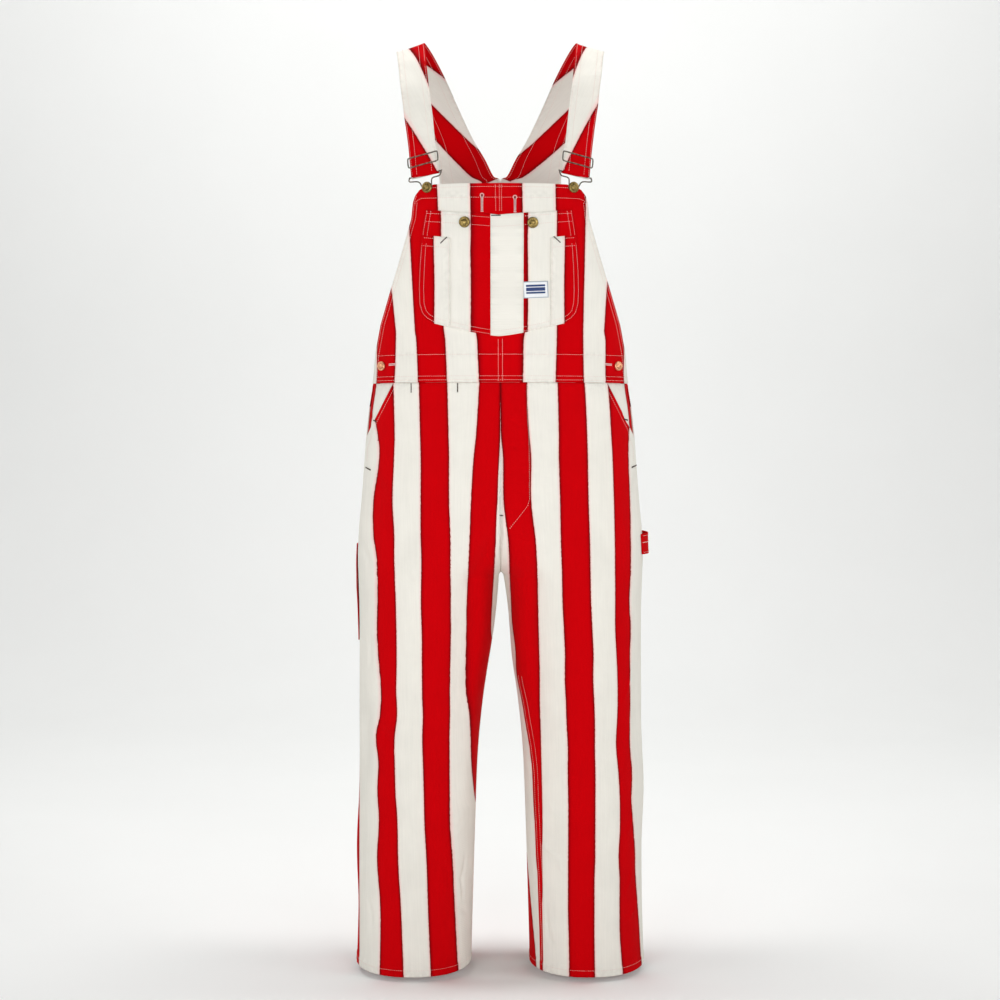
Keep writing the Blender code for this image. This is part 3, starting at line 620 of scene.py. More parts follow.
# where the diagonal stripe edges cross the strap's neck edge and armhole edge, as rows of the table;
# the back part and the front part meet in a chevron on the shoulder
strapStripes = {
    "back": {1: [(-5.0, -1.2), (-2.6, 0.3), (-0.6, 2.6), (2.6, 5.8), (5.2, 7.6), (7.8, 10.1), (11, 13)],
             -1: [(-5.0, -1.2), (-2.5, 0.4), (-0.8, 2.6), (2.05, 5.95), (5.5, 7.9), (8.0, 10.3), (11, 13)]},
    "front": {1: [(2, -6), (13.05, 6.9), (18.05, 13.95), (22, 18), (26, 22)],
              -1: [(2, -6), (13.45, 8.1), (18.15, 14.58), (22, 18), (26, 22)]},
}
strapCloth = {"columns": 22, "perRow": 9, "firstRow": 0.035, "lastRow": 0.022, "flat": (0.110, 0.700),
              "area": 0.047}
yokePoint = {"top": -0.1775, "slope": 0.45, "sharpness": 40}


def addStrap(side, name):
    rows = [i / strapCloth["perRow"] for i in range(strapEnd["bar"] * strapCloth["perRow"] + 1)]
    toBar = len(rows)
    rows += [strapEnd["bar"] + i / 3 for i in range(1, 13)] + [22.3, 22.6, 23]
    run = [0.0]
    for r0, r1 in zip(rows, rows[1:]):
        run.append(run[-1] + (strapPoint(0.5, r1) - strapPoint(0.5, r0)).length)

    def runAt(row):
        if row < 0:
            return row * strapCloth["firstRow"]
        return lookup(rows[:toBar], run[:toBar], row) + max(0, row - strapEnd["bar"]) * strapCloth["lastRow"]

    bands = {part: [(runAt(neck), runAt(arm)) for neck, arm in strapStripes[part][side]] for part in strapStripes}

    def place(across, row):
        part = "back" if row < strapEnd["shoulder"] else "front"
        length = runAt(row)
        edges = [neck + (arm - neck) * across for neck, arm in bands[part]]
        stripe = stripeAt(length, edges) if edges[0] <= length < edges[-1] else 0.5
        if part == "back":  # the yoke's white point between the two straps
            x, _, z = strapPoint(across, row)
            above = z - yokePoint["top"] + yokePoint["slope"] * x
            stripe = min(stripe, max(2.5, 3 + yokePoint["sharpness"] * above))
        # the edges are turned in and stitched, so they stand a little proud of the middle
        edge = 0.0005 * max(near(across, 0.14), near(1 - across, 0.14))
        wave = 0.0007 * math.sin(length * 95 + 4 * across + side) * near(row - 12.5, 5)
        point = strap(side, across, row, edge + wave if row < strapEnd["bar"] else 0.0)[0]
        pucker = max(near(across, 0.2), near(1 - across, 0.2))
        return point, stripe + 1 if part == "back" else 7 - stripe, length, pucker

    return makeCloth("strap_" + name, spaced(0, 1, strapCloth["columns"]), rows, place, side < 0)


# half width of the bib pocket down its side
pocketWidths = [
    (0.00, 0.1080), (0.18, 0.1130), (0.35, 0.1165), (0.52, 0.1185), (0.70, 0.1195), (0.83, 0.1188),
    (0.91, 0.1150), (0.96, 0.1080), (1.00, 0.0965),
]
pocket = {"centre": -0.0020, "top": -0.2583, "sag": 0.0090, "corner": -0.4253, "point": -0.4449, "power": 1.35,
          "stripes": [-0.134, -0.087, -0.044, 0.041, 0.083, 0.129], "flat": (0.240, 0.178)}
pocketKeys = [k for k, _ in pocketWidths]
pocketHalves = [v for _, v in pocketWidths]


def pocketSpot(across, down):
    x = pocket["centre"] + across * lookup(pocketKeys, pocketHalves, down)
    top = pocket["top"] - pocket["sag"] * (1 - abs(across))
    bottom = pocket["point"] + (pocket["corner"] - pocket["point"]) * abs(across) ** pocket["power"]
    return x, top + (bottom - top) * down


def pocketShare(x, down):
    return (x - pocket["centre"]) / lookup(pocketKeys, pocketHalves, down)


def addPocket():
    def place(across, down):
        x, z = pocketSpot(across, down)
        side = min(1 - abs(across), 1 - down) * 0.115
        lift = level1 + 0.0006 * max(near(side, 0.010), near(down * 0.17, 0.022))
        point = front(x, z, lift)[0]
        return point, stripeAt(x, pocket["stripes"]), -z, max(near(side, 0.014), near(down * 0.17, 0.016))

    downs = sorted(set(spaced(0, 1, 54) + pocketKeys))
    return makeCloth("bib_pocket", spaced(-1, 1, 72), downs, place)


# each strip's side edges (as x, or as a share of the pocket's half width), its top, and where its red starts
strips = {
    "pencil_strip": {"left": ("x", -0.0144), "right": ("x", 0.0340), "top": 0.0, "flat": (0.050, 0.180)},
    "side_strip_left": {"left": ("x", 0.0740), "right": ("share", 0.995), "top": 0.22, "edge": 0.0944,
                        "flat": (0.048, 0.150)},
    "side_strip_right": {"left": ("share", -0.995), "right": ("x", -0.0740), "top": 0.22, "edge": 0.0976,
                         "flat": (0.048, 0.150)},
}


def addStrip(name):
    strip = strips[name]

    def edgeShare(edge, down):
        kind, value = strip[edge]
        return value if kind == "share" else pocketShare(value, down)

    def place(across, down):
        share = edgeShare("left", down) + (edgeShare("right", down) - edgeShare("left", down)) * across
        x, z = pocketSpot(share, down)
        stripe = 2 + (abs(x) - strip["edge"]) / stripeWidth if "edge" in strip else 1.5
        point = front(x, z, level2 + 0.0003 * max(near(across, 0.1), near(1 - across, 0.1)))[0]
        sides = max(near(across, 0.3), near(1 - across, 0.3))
        return point, stripe, -z, max(sides, near(down - strip["top"], 0.06), near(1 - down, 0.08))

    downs = sorted(set(spaced(strip["top"], 1, 44) + [k for k in pocketKeys if k > strip["top"]]))
    return makeCloth(name, spaced(0, 1, 16), downs, place)


label = {"left": 0.0345, "right": 0.0715, "top": -0.3641, "bottom": -0.3885, "tilt": 2.6, "flat": (0.037, 0.0244)}


def addLabel():
    middleX, middleZ = (label["left"] + label["right"]) / 2, (label["top"] + label["bottom"]) / 2

    def place(across, down):
        dx = (across - 0.5) * (label["right"] - label["left"])
        dz = (0.5 - down) * (label["top"] - label["bottom"])
        tilt = math.radians(label["tilt"])
        x = middleX - 0.0010 + dx * math.cos(tilt) - dz * math.sin(tilt)
        z = middleZ + dx * math.sin(tilt) + dz * math.cos(tilt)
        return front(x, z, labelLevel)[0], across, down, 0.0

    return makeCloth("label", spaced(0, 1, 20), spaced(0, 1, 14), place, thickness=labelCloth)


toolPocket = {"start": 89, "end": 146, "top": -0.760, "bottom": -0.910, "flat": (0.118, 0.150)}


def addToolPocket():
    def place(across, down):
        z = toolPocket["top"] + (toolPocket["bottom"] - toolPocket["top"]) * down
        angle = toolPocket["start"] + (toolPocket["end"] - toolPocket["start"]) * across
        edge = max(near(across, 0.1), near(1 - across, 0.1), near(1 - down, 0.07))
        lift = level1 + 0.0005 * max(edge, near(down, 0.1)) + 0.0015 * math.sin(math.pi * across) * near(down, 0.5)
        lift += 0.0024 * near(across, 0.16) * near(down - 0.45, 0.60)  # its front edge gapes a little
        return body(-1, angle, z, lift, 1)[0], 2.3 + across * 2.2, -z, max(edge, near(down, 0.2))

    return makeCloth("tool_pocket", spaced(0, 1, 34), spaced(0, 1, 46), place, True)


loop = {"start": 74, "end": 142, "top": -0.7434, "bottom": -0.7747, "reach": 0.0112, "fullness": 0.8,
        "flat": (0.176, 0.0313)}


def loopSpot(across, down, lift=0.0):
    z = loop["top"] + (loop["bottom"] - loop["top"]) * down
    angle = loop["start"] + (loop["end"] - loop["start"]) * across
    arch = max(0.0, math.sin(math.pi * across)) ** loop["fullness"]
    return body(1, angle, z, level1 + loop["reach"] * arch + lift)


def addLoop():
    def place(across, down):
        edge = max(near(down, 0.2), near(1 - down, 0.2))
        return loopSpot(across, down, 0.0004 * edge)[0], 2.2 + 0.6 * down, across * 0.14, 0.8 * edge

    return makeCloth("hammer_loop", spaced(0, 1, 54), spaced(0, 1, 14), place)


pieces = {}
for side, name in ((1, "left"), (-1, "right")):
    pieces["leg_front_" + name] = (addLegFront(side, name), legFront)
    pieces["back_" + name] = (addBack(side, name), back)
    pieces["bib_" + name] = (addBib(side, name), bibHalf)
    pieces["hip_facing_" + name] = (addFacing(side, name), facing)
    pieces["strap_" + name] = (addStrap(side, name), strapCloth)
    print("cloth of the", name, "side laid")
pieces["bib_pocket"] = (addPocket(), pocket)
for name in strips:
    pieces[name] = (addStrip(name), strips[name])
pieces["label"] = (addLabel(), label)
pieces["tool_pocket"] = (addToolPocket(), toolPocket)
pieces["hammer_loop"] = (addLoop(), loop)
print("pockets, strips, label and loop laid")


# ---- sewing
thread = {"long": 0.0024, "wide": 0.0007, "high": 0.0006, "spacing": 0.0034}


def sew(store, path, spacing=None, size=None, across=False, sink=0.25):
    # small padded stitches laid along a path of (point, normal), or across it for tacks and buttonholes
    run = [0.0]
    for (p, _), (q, _) in zip(path, path[1:]):
        run.append(run[-1] + (q - p).length)
    spacing = spacing or thread["spacing"]
    long, wide, high = size or (thread["long"], thread["wide"], thread["high"])
    count = max(1, round(run[-1] / spacing))
    bm = bmesh.new()
    for k in range(count):
        at = run[-1] * (k + 0.5) / count
        i = min(len(path) - 2, max(0, bisect_left(run, at) - 1))
        t = (at - run[i]) / max(1e-9, run[i + 1] - run[i])
        point = path[i][0].lerp(path[i + 1][0], t)
        normal = path[i][1].lerp(path[i + 1][1], t).normalized()
        along = (path[i + 1][0] - path[i][0]).normalized()
        cross = normal.cross(along).normalized()
        if across:
            along, cross = cross, -along
        turned = Matrix((along, cross, normal)).transposed().to_4x4()
        turned.translation = point + normal * high * (0.5 - sink)
        shape = turned @ Matrix.Diagonal((long, wide, high, 1))
        bmesh.ops.create_icosphere(bm, subdivisions=1, radius=0.5, matrix=shape)
    mesh = bpy.data.meshes.new("stitches")
    bm.to_mesh(mesh)
    bm.free()
    store.from_mesh(mesh)
    bpy.data.meshes.remove(mesh)


def frontLine(corners, lift=0.0, step=5.0):
    # a line over the front through (x, z) corners in mm, lifted by a number or by a rule of x and z
    spots = []
    for (x0, z0), (x1, z1) in zip(corners, corners[1:]):
        steps = max(1, round(math.hypot(x1 - x0, z1 - z0) / step))
        spots += [(x0 + (x1 - x0) * t, z0 + (z1 - z0) * t) for t in spaced(0, 1, steps)[:-1]]
    spots = [(x / 1000, z / 1000) for x, z in spots + corners[-1:]]
    return [front(x, z, lift(x, z) if callable(lift) else lift) for x, z in spots]


def backLine(side, stations, edge):
    # a line down the back at edge(z) from the centre plane
    return [body(side, 180 - angleAt(edge(z), z), z, 0.0002, 1) for z in stations]


def inset(outline, distance):
    # a line inside another, both as (x, z)
    result = []
    for i, (x, z) in enumerate(outline):
        x0, z0 = outline[max(0, i - 1)]
        x1, z1 = outline[min(len(outline) - 1, i + 1)]
        dx, dz = x1 - x0, z1 - z0
        long = math.hypot(dx, dz)
        result.append((x - dz / long * distance, z + dx / long * distance))
    return result


def legRow(side, top, bottom, distance, half, lift, tag):
    # a row that keeps its distance from the seam where a panel starts
    path = []
    for z in spaced(top, bottom, max(4, round((top - bottom) / 0.008))):
        first, last = (centreAngle(z), 90.0) if tag == "front" else (90.0, 180 - centreAngle(z))
        angles, lengths, _ = arc(side, z, first, last, tag)
        path.append(body(side, lookup(lengths, angles, distance), z, lift, half))
    return path


def hexColour(code):
    values = [int(code[i:i + 2], 16) / 255 for i in (1, 3, 5)]
    return tuple(v / 12.92 if v <= 0.04045 else ((v + 0.055) / 1.055) ** 2.4 for v in values) + (1,)


def addNode(tree, kind, settings):
    # each value goes to the socket or property of that name or number; a node or a socket is linked
    node = tree.nodes.new("ShaderNode" + kind)
    for key, value in settings.items():
        if isinstance(value, bpy.types.Node):
            value = value.outputs[0]
        if isinstance(value, bpy.types.NodeSocket):
            tree.links.new(value, node.inputs[key])
        elif isinstance(key, int) or key in node.inputs:
            node.inputs[key].default_value = value
        else:
            setattr(node, key, value)
    return node


def newMaterial(name, **values):
    made = bpy.data.materials.new(name)
    made.use_nodes = True
    shader = made.node_tree.nodes["Principled BSDF"]
    for key, value in values.items():
        shader.inputs[key.replace("_", " ")].default_value = value
    return made, shader, partial(addNode, made.node_tree)


def connect(shader, colour, normal=None, roughness=None):
    shader.id_data.links.new(colour.outputs[2], shader.inputs["Base Color"])
    for key, source in (("Normal", normal), ("Roughness", roughness)):
        if source:
            shader.id_data.links.new(source.outputs[0], shader.inputs[key])


colours = {"data_type": "RGBA", "clamp_factor": True}  # a mix of two colours: sockets 0, 6 and 7, output 2


def stripedDrill():
    # heavy cotton drill, yarn dyed in wide stripes and never washed hard: matt, a little napped, with a
    # diagonal rib, slubby yarns along the stripes, red that has bled a hair into the white, and painted shade in
    # the puckers along seams and edges
    made, shader, add = newMaterial("striped_cotton_drill", Roughness=0.95, Specular_IOR_Level=0.03,
                                    Sheen_Weight=0.01, Sheen_Roughness=0.6)
    parts = add("SeparateXYZ", {0: add("UVMap", {"uv_map": "cloth"})})
    metres = add("Math", {"operation": "MULTIPLY", 0: parts, 1: stripeWidth})
    grain = add("CombineXYZ", {0: metres, 1: parts.outputs[1]})
    # the dyed edge wanders by about half a millimetre
    wander = add("TexNoise", {"Vector": grain, "Scale": 210.0, "Detail": 2.0})
    stripe = add("Math", {"operation": "ADD", 0: parts, 1: add("MapRange", {0: wander, 3: -0.012, 4: 0.012})})
    turns = add("Math", {"operation": "MULTIPLY", 0: stripe, 1: math.pi})
    wave = add("Math", {"operation": "SINE", 0: turns})
    dye = add("ValToRGB", {0: add("MapRange", {0: wave, 1: -1.0, 2: 1.0})})
    stops = [(0.0, "#eeebe2"), (0.37, "#eeeae1"), (0.44, "#f3ddd7"), (0.490, "#f5c4bd"), (0.503, "#5e0508"),
             (0.540, "#86050a"), (0.61, "#b80009"), (0.70, "#c80008"), (1.0, "#ca0008")]
    while len(dye.color_ramp.elements) < len(stops):
        dye.color_ramp.elements.new(0.5)
    for element, (position, colour) in zip(dye.color_ramp.elements, stops):
        element.position, element.color = position, hexColour(colour)
    # slubs run 3 mm wide and 70 mm long; the real yarns are 0.5 mm and too fine to show
    stretched = add("Mapping", {"Vector": grain, "Scale": (330.0, 14.0, 1.0)})
    slub = add("TexNoise", {"Vector": stretched, "Scale": 1.0, "Detail": 4.0, "Roughness": 0.6})
    slubTone = add("MapRange", {0: slub, 1: 0.3, 2: 0.7, 3: 0.972, 4: 1.02})
    # handling marks about 60 mm across
    mottle = add("TexNoise", {"Vector": grain, "Scale": 17.0, "Detail": 3.0})
    mottleTone = add("MapRange", {0: mottle, 1: 0.3, 2: 0.7, 3: 0.965, 4: 1.02})
    pucker = add("Attribute", {"attribute_name": "pucker"}).outputs["Fac"]
    # puckers by the seams and edges: the ruck noise drives their bump, and the same noise paints their shade into
    # the colour
    ruck = add("TexNoise", {"Vector": grain, "Scale": 150.0, "Detail": 2.0})
    ruckShade = add("MapRange", {0: ruck, 1: 0.35, 2: 0.65, 3: 0.86, 4: 1.04})
    tone = add("Math", {"operation": "MULTIPLY", 0: slubTone, 1: mottleTone})
    toned = add("Mix", {**colours, "blend_type": "MULTIPLY", 0: 1.0, 6: dye, 7: tone}).outputs[2]
    # painted shade: the pucker weight sets how far the ruck noise darkens the colour
    puckerShadeWeight = add("Math", {"operation": "MULTIPLY", 0: pucker, 1: 0.5})
    puckerShaded = add("Mix", {**colours, "blend_type": "MULTIPLY", 0: puckerShadeWeight, 6: toned, 7: ruckShade})
    # the rib's real pitch is 0.8 mm, drawn at 1.8 mm
    rib = add("TexWave", {"Vector": grain, "bands_direction": "DIAGONAL", "Scale": 175.0, "Distortion": 1.2,
                          "Detail": 2.0, "Detail Scale": 2.0})
    ribBump = add("Bump", {"Height": rib.outputs[1], "Strength": 0.16, "Distance": 0.0004})
    slubBump = add("Bump", {"Height": slub, "Normal": ribBump, "Strength": 0.14, "Distance": 0.0005})
    crumple = add("TexNoise", {"Vector": grain, "Scale": 38.0, "Detail": 3.0, "Roughness": 0.45})
    crumpleBump = add("Bump", {"Height": crumple, "Normal": slubBump, "Strength": 0.42, "Distance": 0.0045})
    ruckBump = add("Bump", {"Height": ruck, "Normal": crumpleBump, "Strength": pucker, "Distance": 0.0016})
    connect(shader, puckerShaded, ruckBump)
    return made


def wovenLabel():
    # a satin woven tape: white, with a plain navy field and two white lines, and no lettering
    made, shader, add = newMaterial("woven_satin_tape", Roughness=0.55, Specular_IOR_Level=0.4)
    uv = add("UVMap", {"uv_map": "cloth"})
    across, down = add("SeparateXYZ", {0: uv}).outputs[:2]

    def band(source, low, high):
        above = add("Math", {"operation": "GREATER_THAN", 0: source, 1: low})
        below = add("Math", {"operation": "LESS_THAN", 0: source, 1: high})
        return add("Math", {"operation": "MULTIPLY", 0: above, 1: below})

    field = add("Math", {"operation": "MULTIPLY", 0: band(across, 0.12, 0.88), 1: band(down, 0.20, 0.74)})
    for low in (0.32, 0.58):
        line = add("Math", {"operation": "SUBTRACT", 0: 1.0, 1: band(down, low, low + 0.05)})
        field = add("Math", {"operation": "MULTIPLY", 0: field, 1: line})
    inner = add("Math", {"operation": "MULTIPLY", 0: band(across, 0.035, 0.965), 1: band(down, 0.05, 0.95)})
    ground = add("Mix", {**colours, 0: inner, 6: hexColour("#aab2be"), 7: hexColour("#eceef0")}).outputs[2]
    weft = add("TexWave", {"Vector": uv, "bands_direction": "Y", "Scale": 14.0})  # picks of about 0.5 mm
    weftBump = add("Bump", {"Height": weft.outputs[1], "Strength": 0.25, "Distance": 0.0002})
    connect(shader, add("Mix", {**colours, 0: field, 6: ground, 7: hexColour("#1f3870")}), weftBump)
    return made


def cottonThread(name, light, dark):
    # twisted cotton thread: matt, with a slight change of tone from stitch to stitch
    made, shader, add = newMaterial(name, Roughness=0.8, Specular_IOR_Level=0.2)
    noise = add("TexNoise", {"Vector": add("TexCoord", {}).outputs["Object"], "Scale": 260.0, "Detail": 1.0})
    connect(shader, add("Mix", {**colours, 0: noise, 6: hexColour(light), 7: hexColour(dark)}))
    return made


def agedMetal(name, bright, dull, roughness):
    # struck or drawn metal, tarnished in its hollows and rubbed bright where the wear attribute says
    made, shader, add = newMaterial(name, Metallic=1.0)
    stain = add("TexNoise", {"Vector": add("TexCoord", {}).outputs["Object"], "Scale": 420.0, "Detail": 4.0,
                             "Roughness": 0.6})
    spread = add("MapRange", {0: stain, 1: 0.38, 2: 0.62})
    wear = add("Attribute", {"attribute_name": "wear"}).outputs["Fac"]
    dirt = add("Math", {"operation": "SUBTRACT", "use_clamp": True, 0: spread, 1: wear})
    rough = add("MapRange", {0: spread, 3: roughness - 0.08, 4: roughness + 0.16})
    pits = add("Bump", {"Height": stain, "Strength": 0.12, "Distance": 0.0002})
    connect(shader, add("Mix", {**colours, 0: dirt, 6: hexColour(bright), 7: hexColour(dull)}), pits, rough)
    return made


drill = stripedDrill()
tape = wovenLabel()
paleThread = cottonThread("cotton_thread_ecru", "#efdad3", "#e0c4bc")
# dark thread for the bar tacks, also used for painted shade lines at the buttonhole slits and strip edges
darkThreadAndShade = cottonThread("cotton_thread_brown_and_painted_shade", "#5b4a40", "#3a2f2a")
holeThread = cottonThread("buttonhole_twist", "#f2d3cf", "#e3b6b2")
brass = agedMetal("aged_brass", "#9a844f", "#3c321d", 0.38)
copper = agedMetal("bright_copper", "#f2b48c", "#b07552", 0.36)
steel = agedMetal("aged_wire", "#8d8478", "#4a4339", 0.38)

for node, (piece, facts) in pieces.items():
    piece.data.materials.append(tape if node == "label" else drill)
    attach(piece, "root")
    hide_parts(node)
print("cloth finished")

# the bib's rows: top, facing, centre, sides, waistband
sewing = bmesh.new()
bibRows = [
    [(-104, -226), (0, -226), (104, -226)],
    [(-127.5, -249), (-124, -243.5), (-117, -240.5), (-95, -241), (0, -241.8), (95, -241.2), (117, -241),
     (124, -243.5), (127.5, -249)],
    [(-7.6, -222.5), (-6.6, -262)], [(-1.5, -222.5), (-1.2, -262)], [(1.7, -222.5), (1.9, -262)],
    [(-3.2, -449), (-3, -512)], [(3, -449), (3.2, -512)],
]
for side in (1, -1):
    for distance, top, bottom in ((6.5, -0.243, -0.513), (2.2, -0.232, -0.50)):
        bibRows.append([(side * (x * 1000 - distance), z * 1000) for z, x in bibEdge if bottom <= z < top])
for z in (-471.5, -503.5, -509.3):
    half = straight(bibEdge, z / 1000) * 1000 - 2.5
    bibRows.append([(-half, z), (0, z), (half, z)])
for row in bibRows:
    sew(sewing, frontLine(row, lambda x, z: 0.0001 + bibRise(x, z)))
print("bib sewn")

onPocket, onStrips = level1 + 0.0006, level2 + 0.0002
# the pocket's rows: round its outline on whichever layer is uppermost, then its top hem, slots and strips
outline = [pocketSpot(-1, down) for down in pocketKeys] + [pocketSpot(a, 1) for a in spaced(-0.94, 0.94, 30)]
outline += [pocketSpot(1, down) for down in reversed(pocketKeys)]
for distance in (0.0022, 0.0082):
    row = []
    for x, z in inset(outline, distance):
        onStrip = (abs(x) > 0.074 and z < -0.298) or -0.0144 < x < 0.034
        row.append(front(x, z, onStrips if onStrip else onPocket))
    sew(sewing, row)


def pocketRow(first, last, down, lift, steps=14):
    return [front(*pocketSpot(share, down), lift) for share in spaced(first, last, steps)]


for down in (0.028, 0.098):
    sew(sewing, pocketRow(-0.975, pocketShare(-0.015, down), down, onPocket))
    sew(sewing, pocketRow(pocketShare(0.035, down), 0.975, down, onPocket))
    sew(sewing, pocketRow(pocketShare(-0.013, down), pocketShare(0.0325, down), down, onStrips, 6))
for down in (0.240, 0.308):
    sew(sewing, pocketRow(-0.97, pocketShare(-0.076, down), down, onStrips, 6))
    sew(sewing, pocketRow(pocketShare(0.076, down), 0.97, down, onStrips, 6))
for x, top in ((-0.0126, 0.01), (0.0322, 0.01), (-0.0757, 0.225), (0.0757, 0.225)):
    sew(sewing, [front(*pocketSpot(pocketShare(x, down), down), onStrips) for down in spaced(top, 0.985, 24)])
newPiece("bib_stitches", sewing, paleThread, "striped_drill")
print("pocket sewn")

# the legs' rows: fly, mouths, seams, hems
sewing = bmesh.new()
flyCorners = [(39.5, -516), (40.5, -560), (42.5, -600), (43.5, -660), (43.5, -686), (41, -696), (34, -705),
              (22, -720), (10, -735)]
sew(sewing, frontLine(flyCorners, lambda x, z: 0.0002 + flyLift(x, z))[:-1])  # stops just short of the bar tack
for side in (1, -1):
    mouth = [(side * (mouthX(z) * 1000 - 5.5), z * 1000) for z in spaced(-0.518, -0.585, 8)]
    mouth += [(side * (mouthX(-0.585) * 1000 - 4.0), -594), (side * 203, -612), (side * 203.5, -632)]
    sew(sewing, frontLine(mouth, 0.0004, 6))
    for distance in (0.0022, 0.0078):
        if side < 0:
            sew(sewing, legRow(side, -0.815, -1.396, distance, -1, 0.0002, "front"))
        sew(sewing, legRow(side, -0.525, -1.396, distance, 1, 0.0002, "back"))
    sew(sewing, [body(side, angle, hemZ + 0.0085, hem["bulge"], -1 if angle < 90 else 1)
                 for angle in spaced(-88, 268, 110)])
# the felled inseam that shows on the left leg
leftKeys, leftInner = ([row[i] for row in leftLegStripes] for i in (0, 2))
for distance in (2.5, 7.5):
    sew(sewing, [front((interpolate(leftKeys, leftInner, z * 1000) + distance) / 1000, z, 0.0001)
                 for z in spaced(-0.96, -1.398, 60)])
newPiece("leg_stitches", sewing, paleThread, "striped_drill")

# the back's rows: centre seam, yoke, armhole edges, tool pocket, loop, straps
sewing = bmesh.new()
for side in (1, -1):
    for distance in (0.0025, 0.0080):
        sew(sewing, backLine(side, spaced(yokeZ - 0.002, forkZ + 0.0045, 60), lambda z: distance))
        sew(sewing, backLine(side, spaced(yokeZ - 0.003, waistZ + 0.002, 26),
                             lambda z: straight(backEdge, z) - distance - 0.001))
    for z in (yokeZ - 0.0025, yokeZ - 0.0085):
        sew(sewing, [body(side, 180 - angleAt(x, z), z, 0.0002, 1) for x in spaced(0.001, 0.104, 18)])
    for across in (0.045, 0.22, 0.78, 0.955):
        sew(sewing, [strap(side, across, row, 0.0006) for row in spaced(0.1, 17.9, 120)])
        # the same rows come through on the inside, which shows above the bib
        inner = [strap(side, across, row, -patchCloth) for row in spaced(0.5, 9.9, 90)]
        sew(sewing, [(point, -normal) for point, normal in inner])
    sew(sewing, [strap(side, across, 0.14, 0.0003) for across in spaced(0.03, 0.97, 16)])
first, last = toolPocket["start"], toolPocket["end"]
for edge in (0.8, 3.4):
    high, low = toolPocket["top"] - 0.002, toolPocket["bottom"] + edge * 0.0016
    rim = [(first + edge, high), (first + edge, low), (last - edge, low), (last - edge, high)]
    row = []
    for (a0, z0), (a1, z1) in zip(rim, rim[1:]):
        row += [body(-1, a0 + (a1 - a0) * t, z0 + (z1 - z0) * t, onPocket, 1) for t in spaced(0, 1, 16)[:-1]]
    sew(sewing, row)
sew(sewing, [body(-1, a, -0.7745, level1 + 0.0012, 1) for a in spaced(first + 1, last - 1, 16)])
for down in (0.10, 0.90):
    sew(sewing, [loopSpot(across, down, 0.0005) for across in spaced(0.02, 0.98, 30)])
sew(sewing, [loopSpot(across, 0.42, 0.0003) for across in spaced(0.01, 0.99, 30)], size=(0.0031, 0.0013, 0.0008))
newPiece("back_stitches", sewing, paleThread, "striped_drill")
print("legs, back and straps sewn")

# bar tacks: ends as (x, z) in mm on the front
tack = {"spacing": 0.0009, "size": (0.0024, 0.0010, 0.0009), "across": True}
keyholes = [(-27.0, -236.0, -262.0), (21.5, -239.0, -263.0)]  # x, top and bottom in mm
sewing = bmesh.new()
frontTacks = [
    ((-133.5, -514), (-133.5, -528), 0.0002), ((-63.5, -514), (-63.5, -528), 0.0002),
    ((-13.5, -268.5), (0.5, -268.2), level2), ((-88, -308), (-78, -299), level2), ((78, -298), (88, -307), level2),
    ((-0.8, -711), (6, -711.5), 0.0004), ((-194, -569), (-188, -571), 0.0006), ((-206, -641), (-197, -645), 0.0004),
    ((188, -567), (195, -569), 0.0006), ((200, -641), (209, -638), 0.0004),
]
for first, last, lift in frontTacks:
    sew(sewing, frontLine([first, last], lift, 2), **tack)
for angle in (82, 139):
    sew(sewing, [body(1, angle, -0.759 + dz, level1 + 0.0008) for dz in spaced(0.013, -0.013, 6)], **tack)
# painted shade: dark thread laid along the buttonholes' cut slits, where the opening lies in shade
for x, top, bottom in keyholes:  # the dark slits of the buttonholes
    sew(sewing, frontLine([(x, top - 1.6), (x, top - 4.4)], 0.0004, 1), 0.0006, (0.0024, 0.001, 0.0004), True)
    sew(sewing, frontLine([(x, top - 4.4), (x, bottom + 1)], 0.0004, 2), 0.0008, (0.001, 0.0009, 0.0004), True)
# painted shade: a thin line of dark thread where the strips' turned edges cast their shade
for x in (-0.0741, 0.0741):  # the shade under the strips' turned edges
    edge = [front(*pocketSpot(pocketShare(x, down), down), level2 - 0.0001) for down in spaced(0.225, 0.985, 24)]
    sew(sewing, edge, 0.0030, (0.0036, 0.00040, 0.0004))
# the bar tacks, together with the painted shade lines of the buttonhole slits and the strips' edges
newPiece("bar_tacks_and_painted_shade", sewing, darkThreadAndShade, "striped_drill")

# keyhole buttonholes on the bib's facing, plain ones beside the side buttons
sewing = bmesh.new()
for x, top, bottom in keyholes:
    eye = [(x + 2.6 * math.sin(t), top - 2.6 + 2.6 * math.cos(t)) for t in spaced(-2.5, 2.5, 12)]
    shape = [(x - 0.9, bottom + 1.5), (x - 1.1, top - 5.4)] + eye + [(x + 1.1, top - 5.4), (x + 0.9, bottom + 1.5)]
    sew(sewing, frontLine(shape, 0.0004, 1.5), 0.0007, (0.0018, 0.0009, 0.0008), True)
    bar = [(x - 2, bottom), (x + 2, bottom)]
    sew(sewing, frontLine(bar, 0.0004, 1.5), 0.0008, (0.0026, 0.0009, 0.0009), True)
for side in (1, -1):
    for dz in (-0.9, 0.9):
        bar = [(side * 157, -485 + dz), (side * 168, -485.5 + dz)]
        sew(sewing, frontLine(bar, 0.0004, 1.5), 0.0007, (0.0016, 0.0009, 0.0008), True)
newPiece("buttonholes", sewing, holeThread, "striped_drill")
print("tacks and buttonholes sewn")

# ---- buttons: a struck cap with a beaded rim, set on its shank
caps = {"steps": 48, "beads": 24, "beadHeight": 0.00028}
bibButton = {"x": 0.1072, "z": -0.2251}
# share of the radius and height above the cloth, from the middle of the face to the foot of the shank
capProfile = [(0, 0.0056), (0.20, 0.0056), (0.30, 0.0054), (0.34, 0.0050), (0.40, 0.0048), (0.62, 0.0047),
              (0.70, 0.0047), (0.74, 0.0051), (0.84, 0.0050), (0.93, 0.0045), (1, 0.0037), (1, 0.0031),
              (0.93, 0.0027), (0.26, 0.0026), (0.26, 0)]


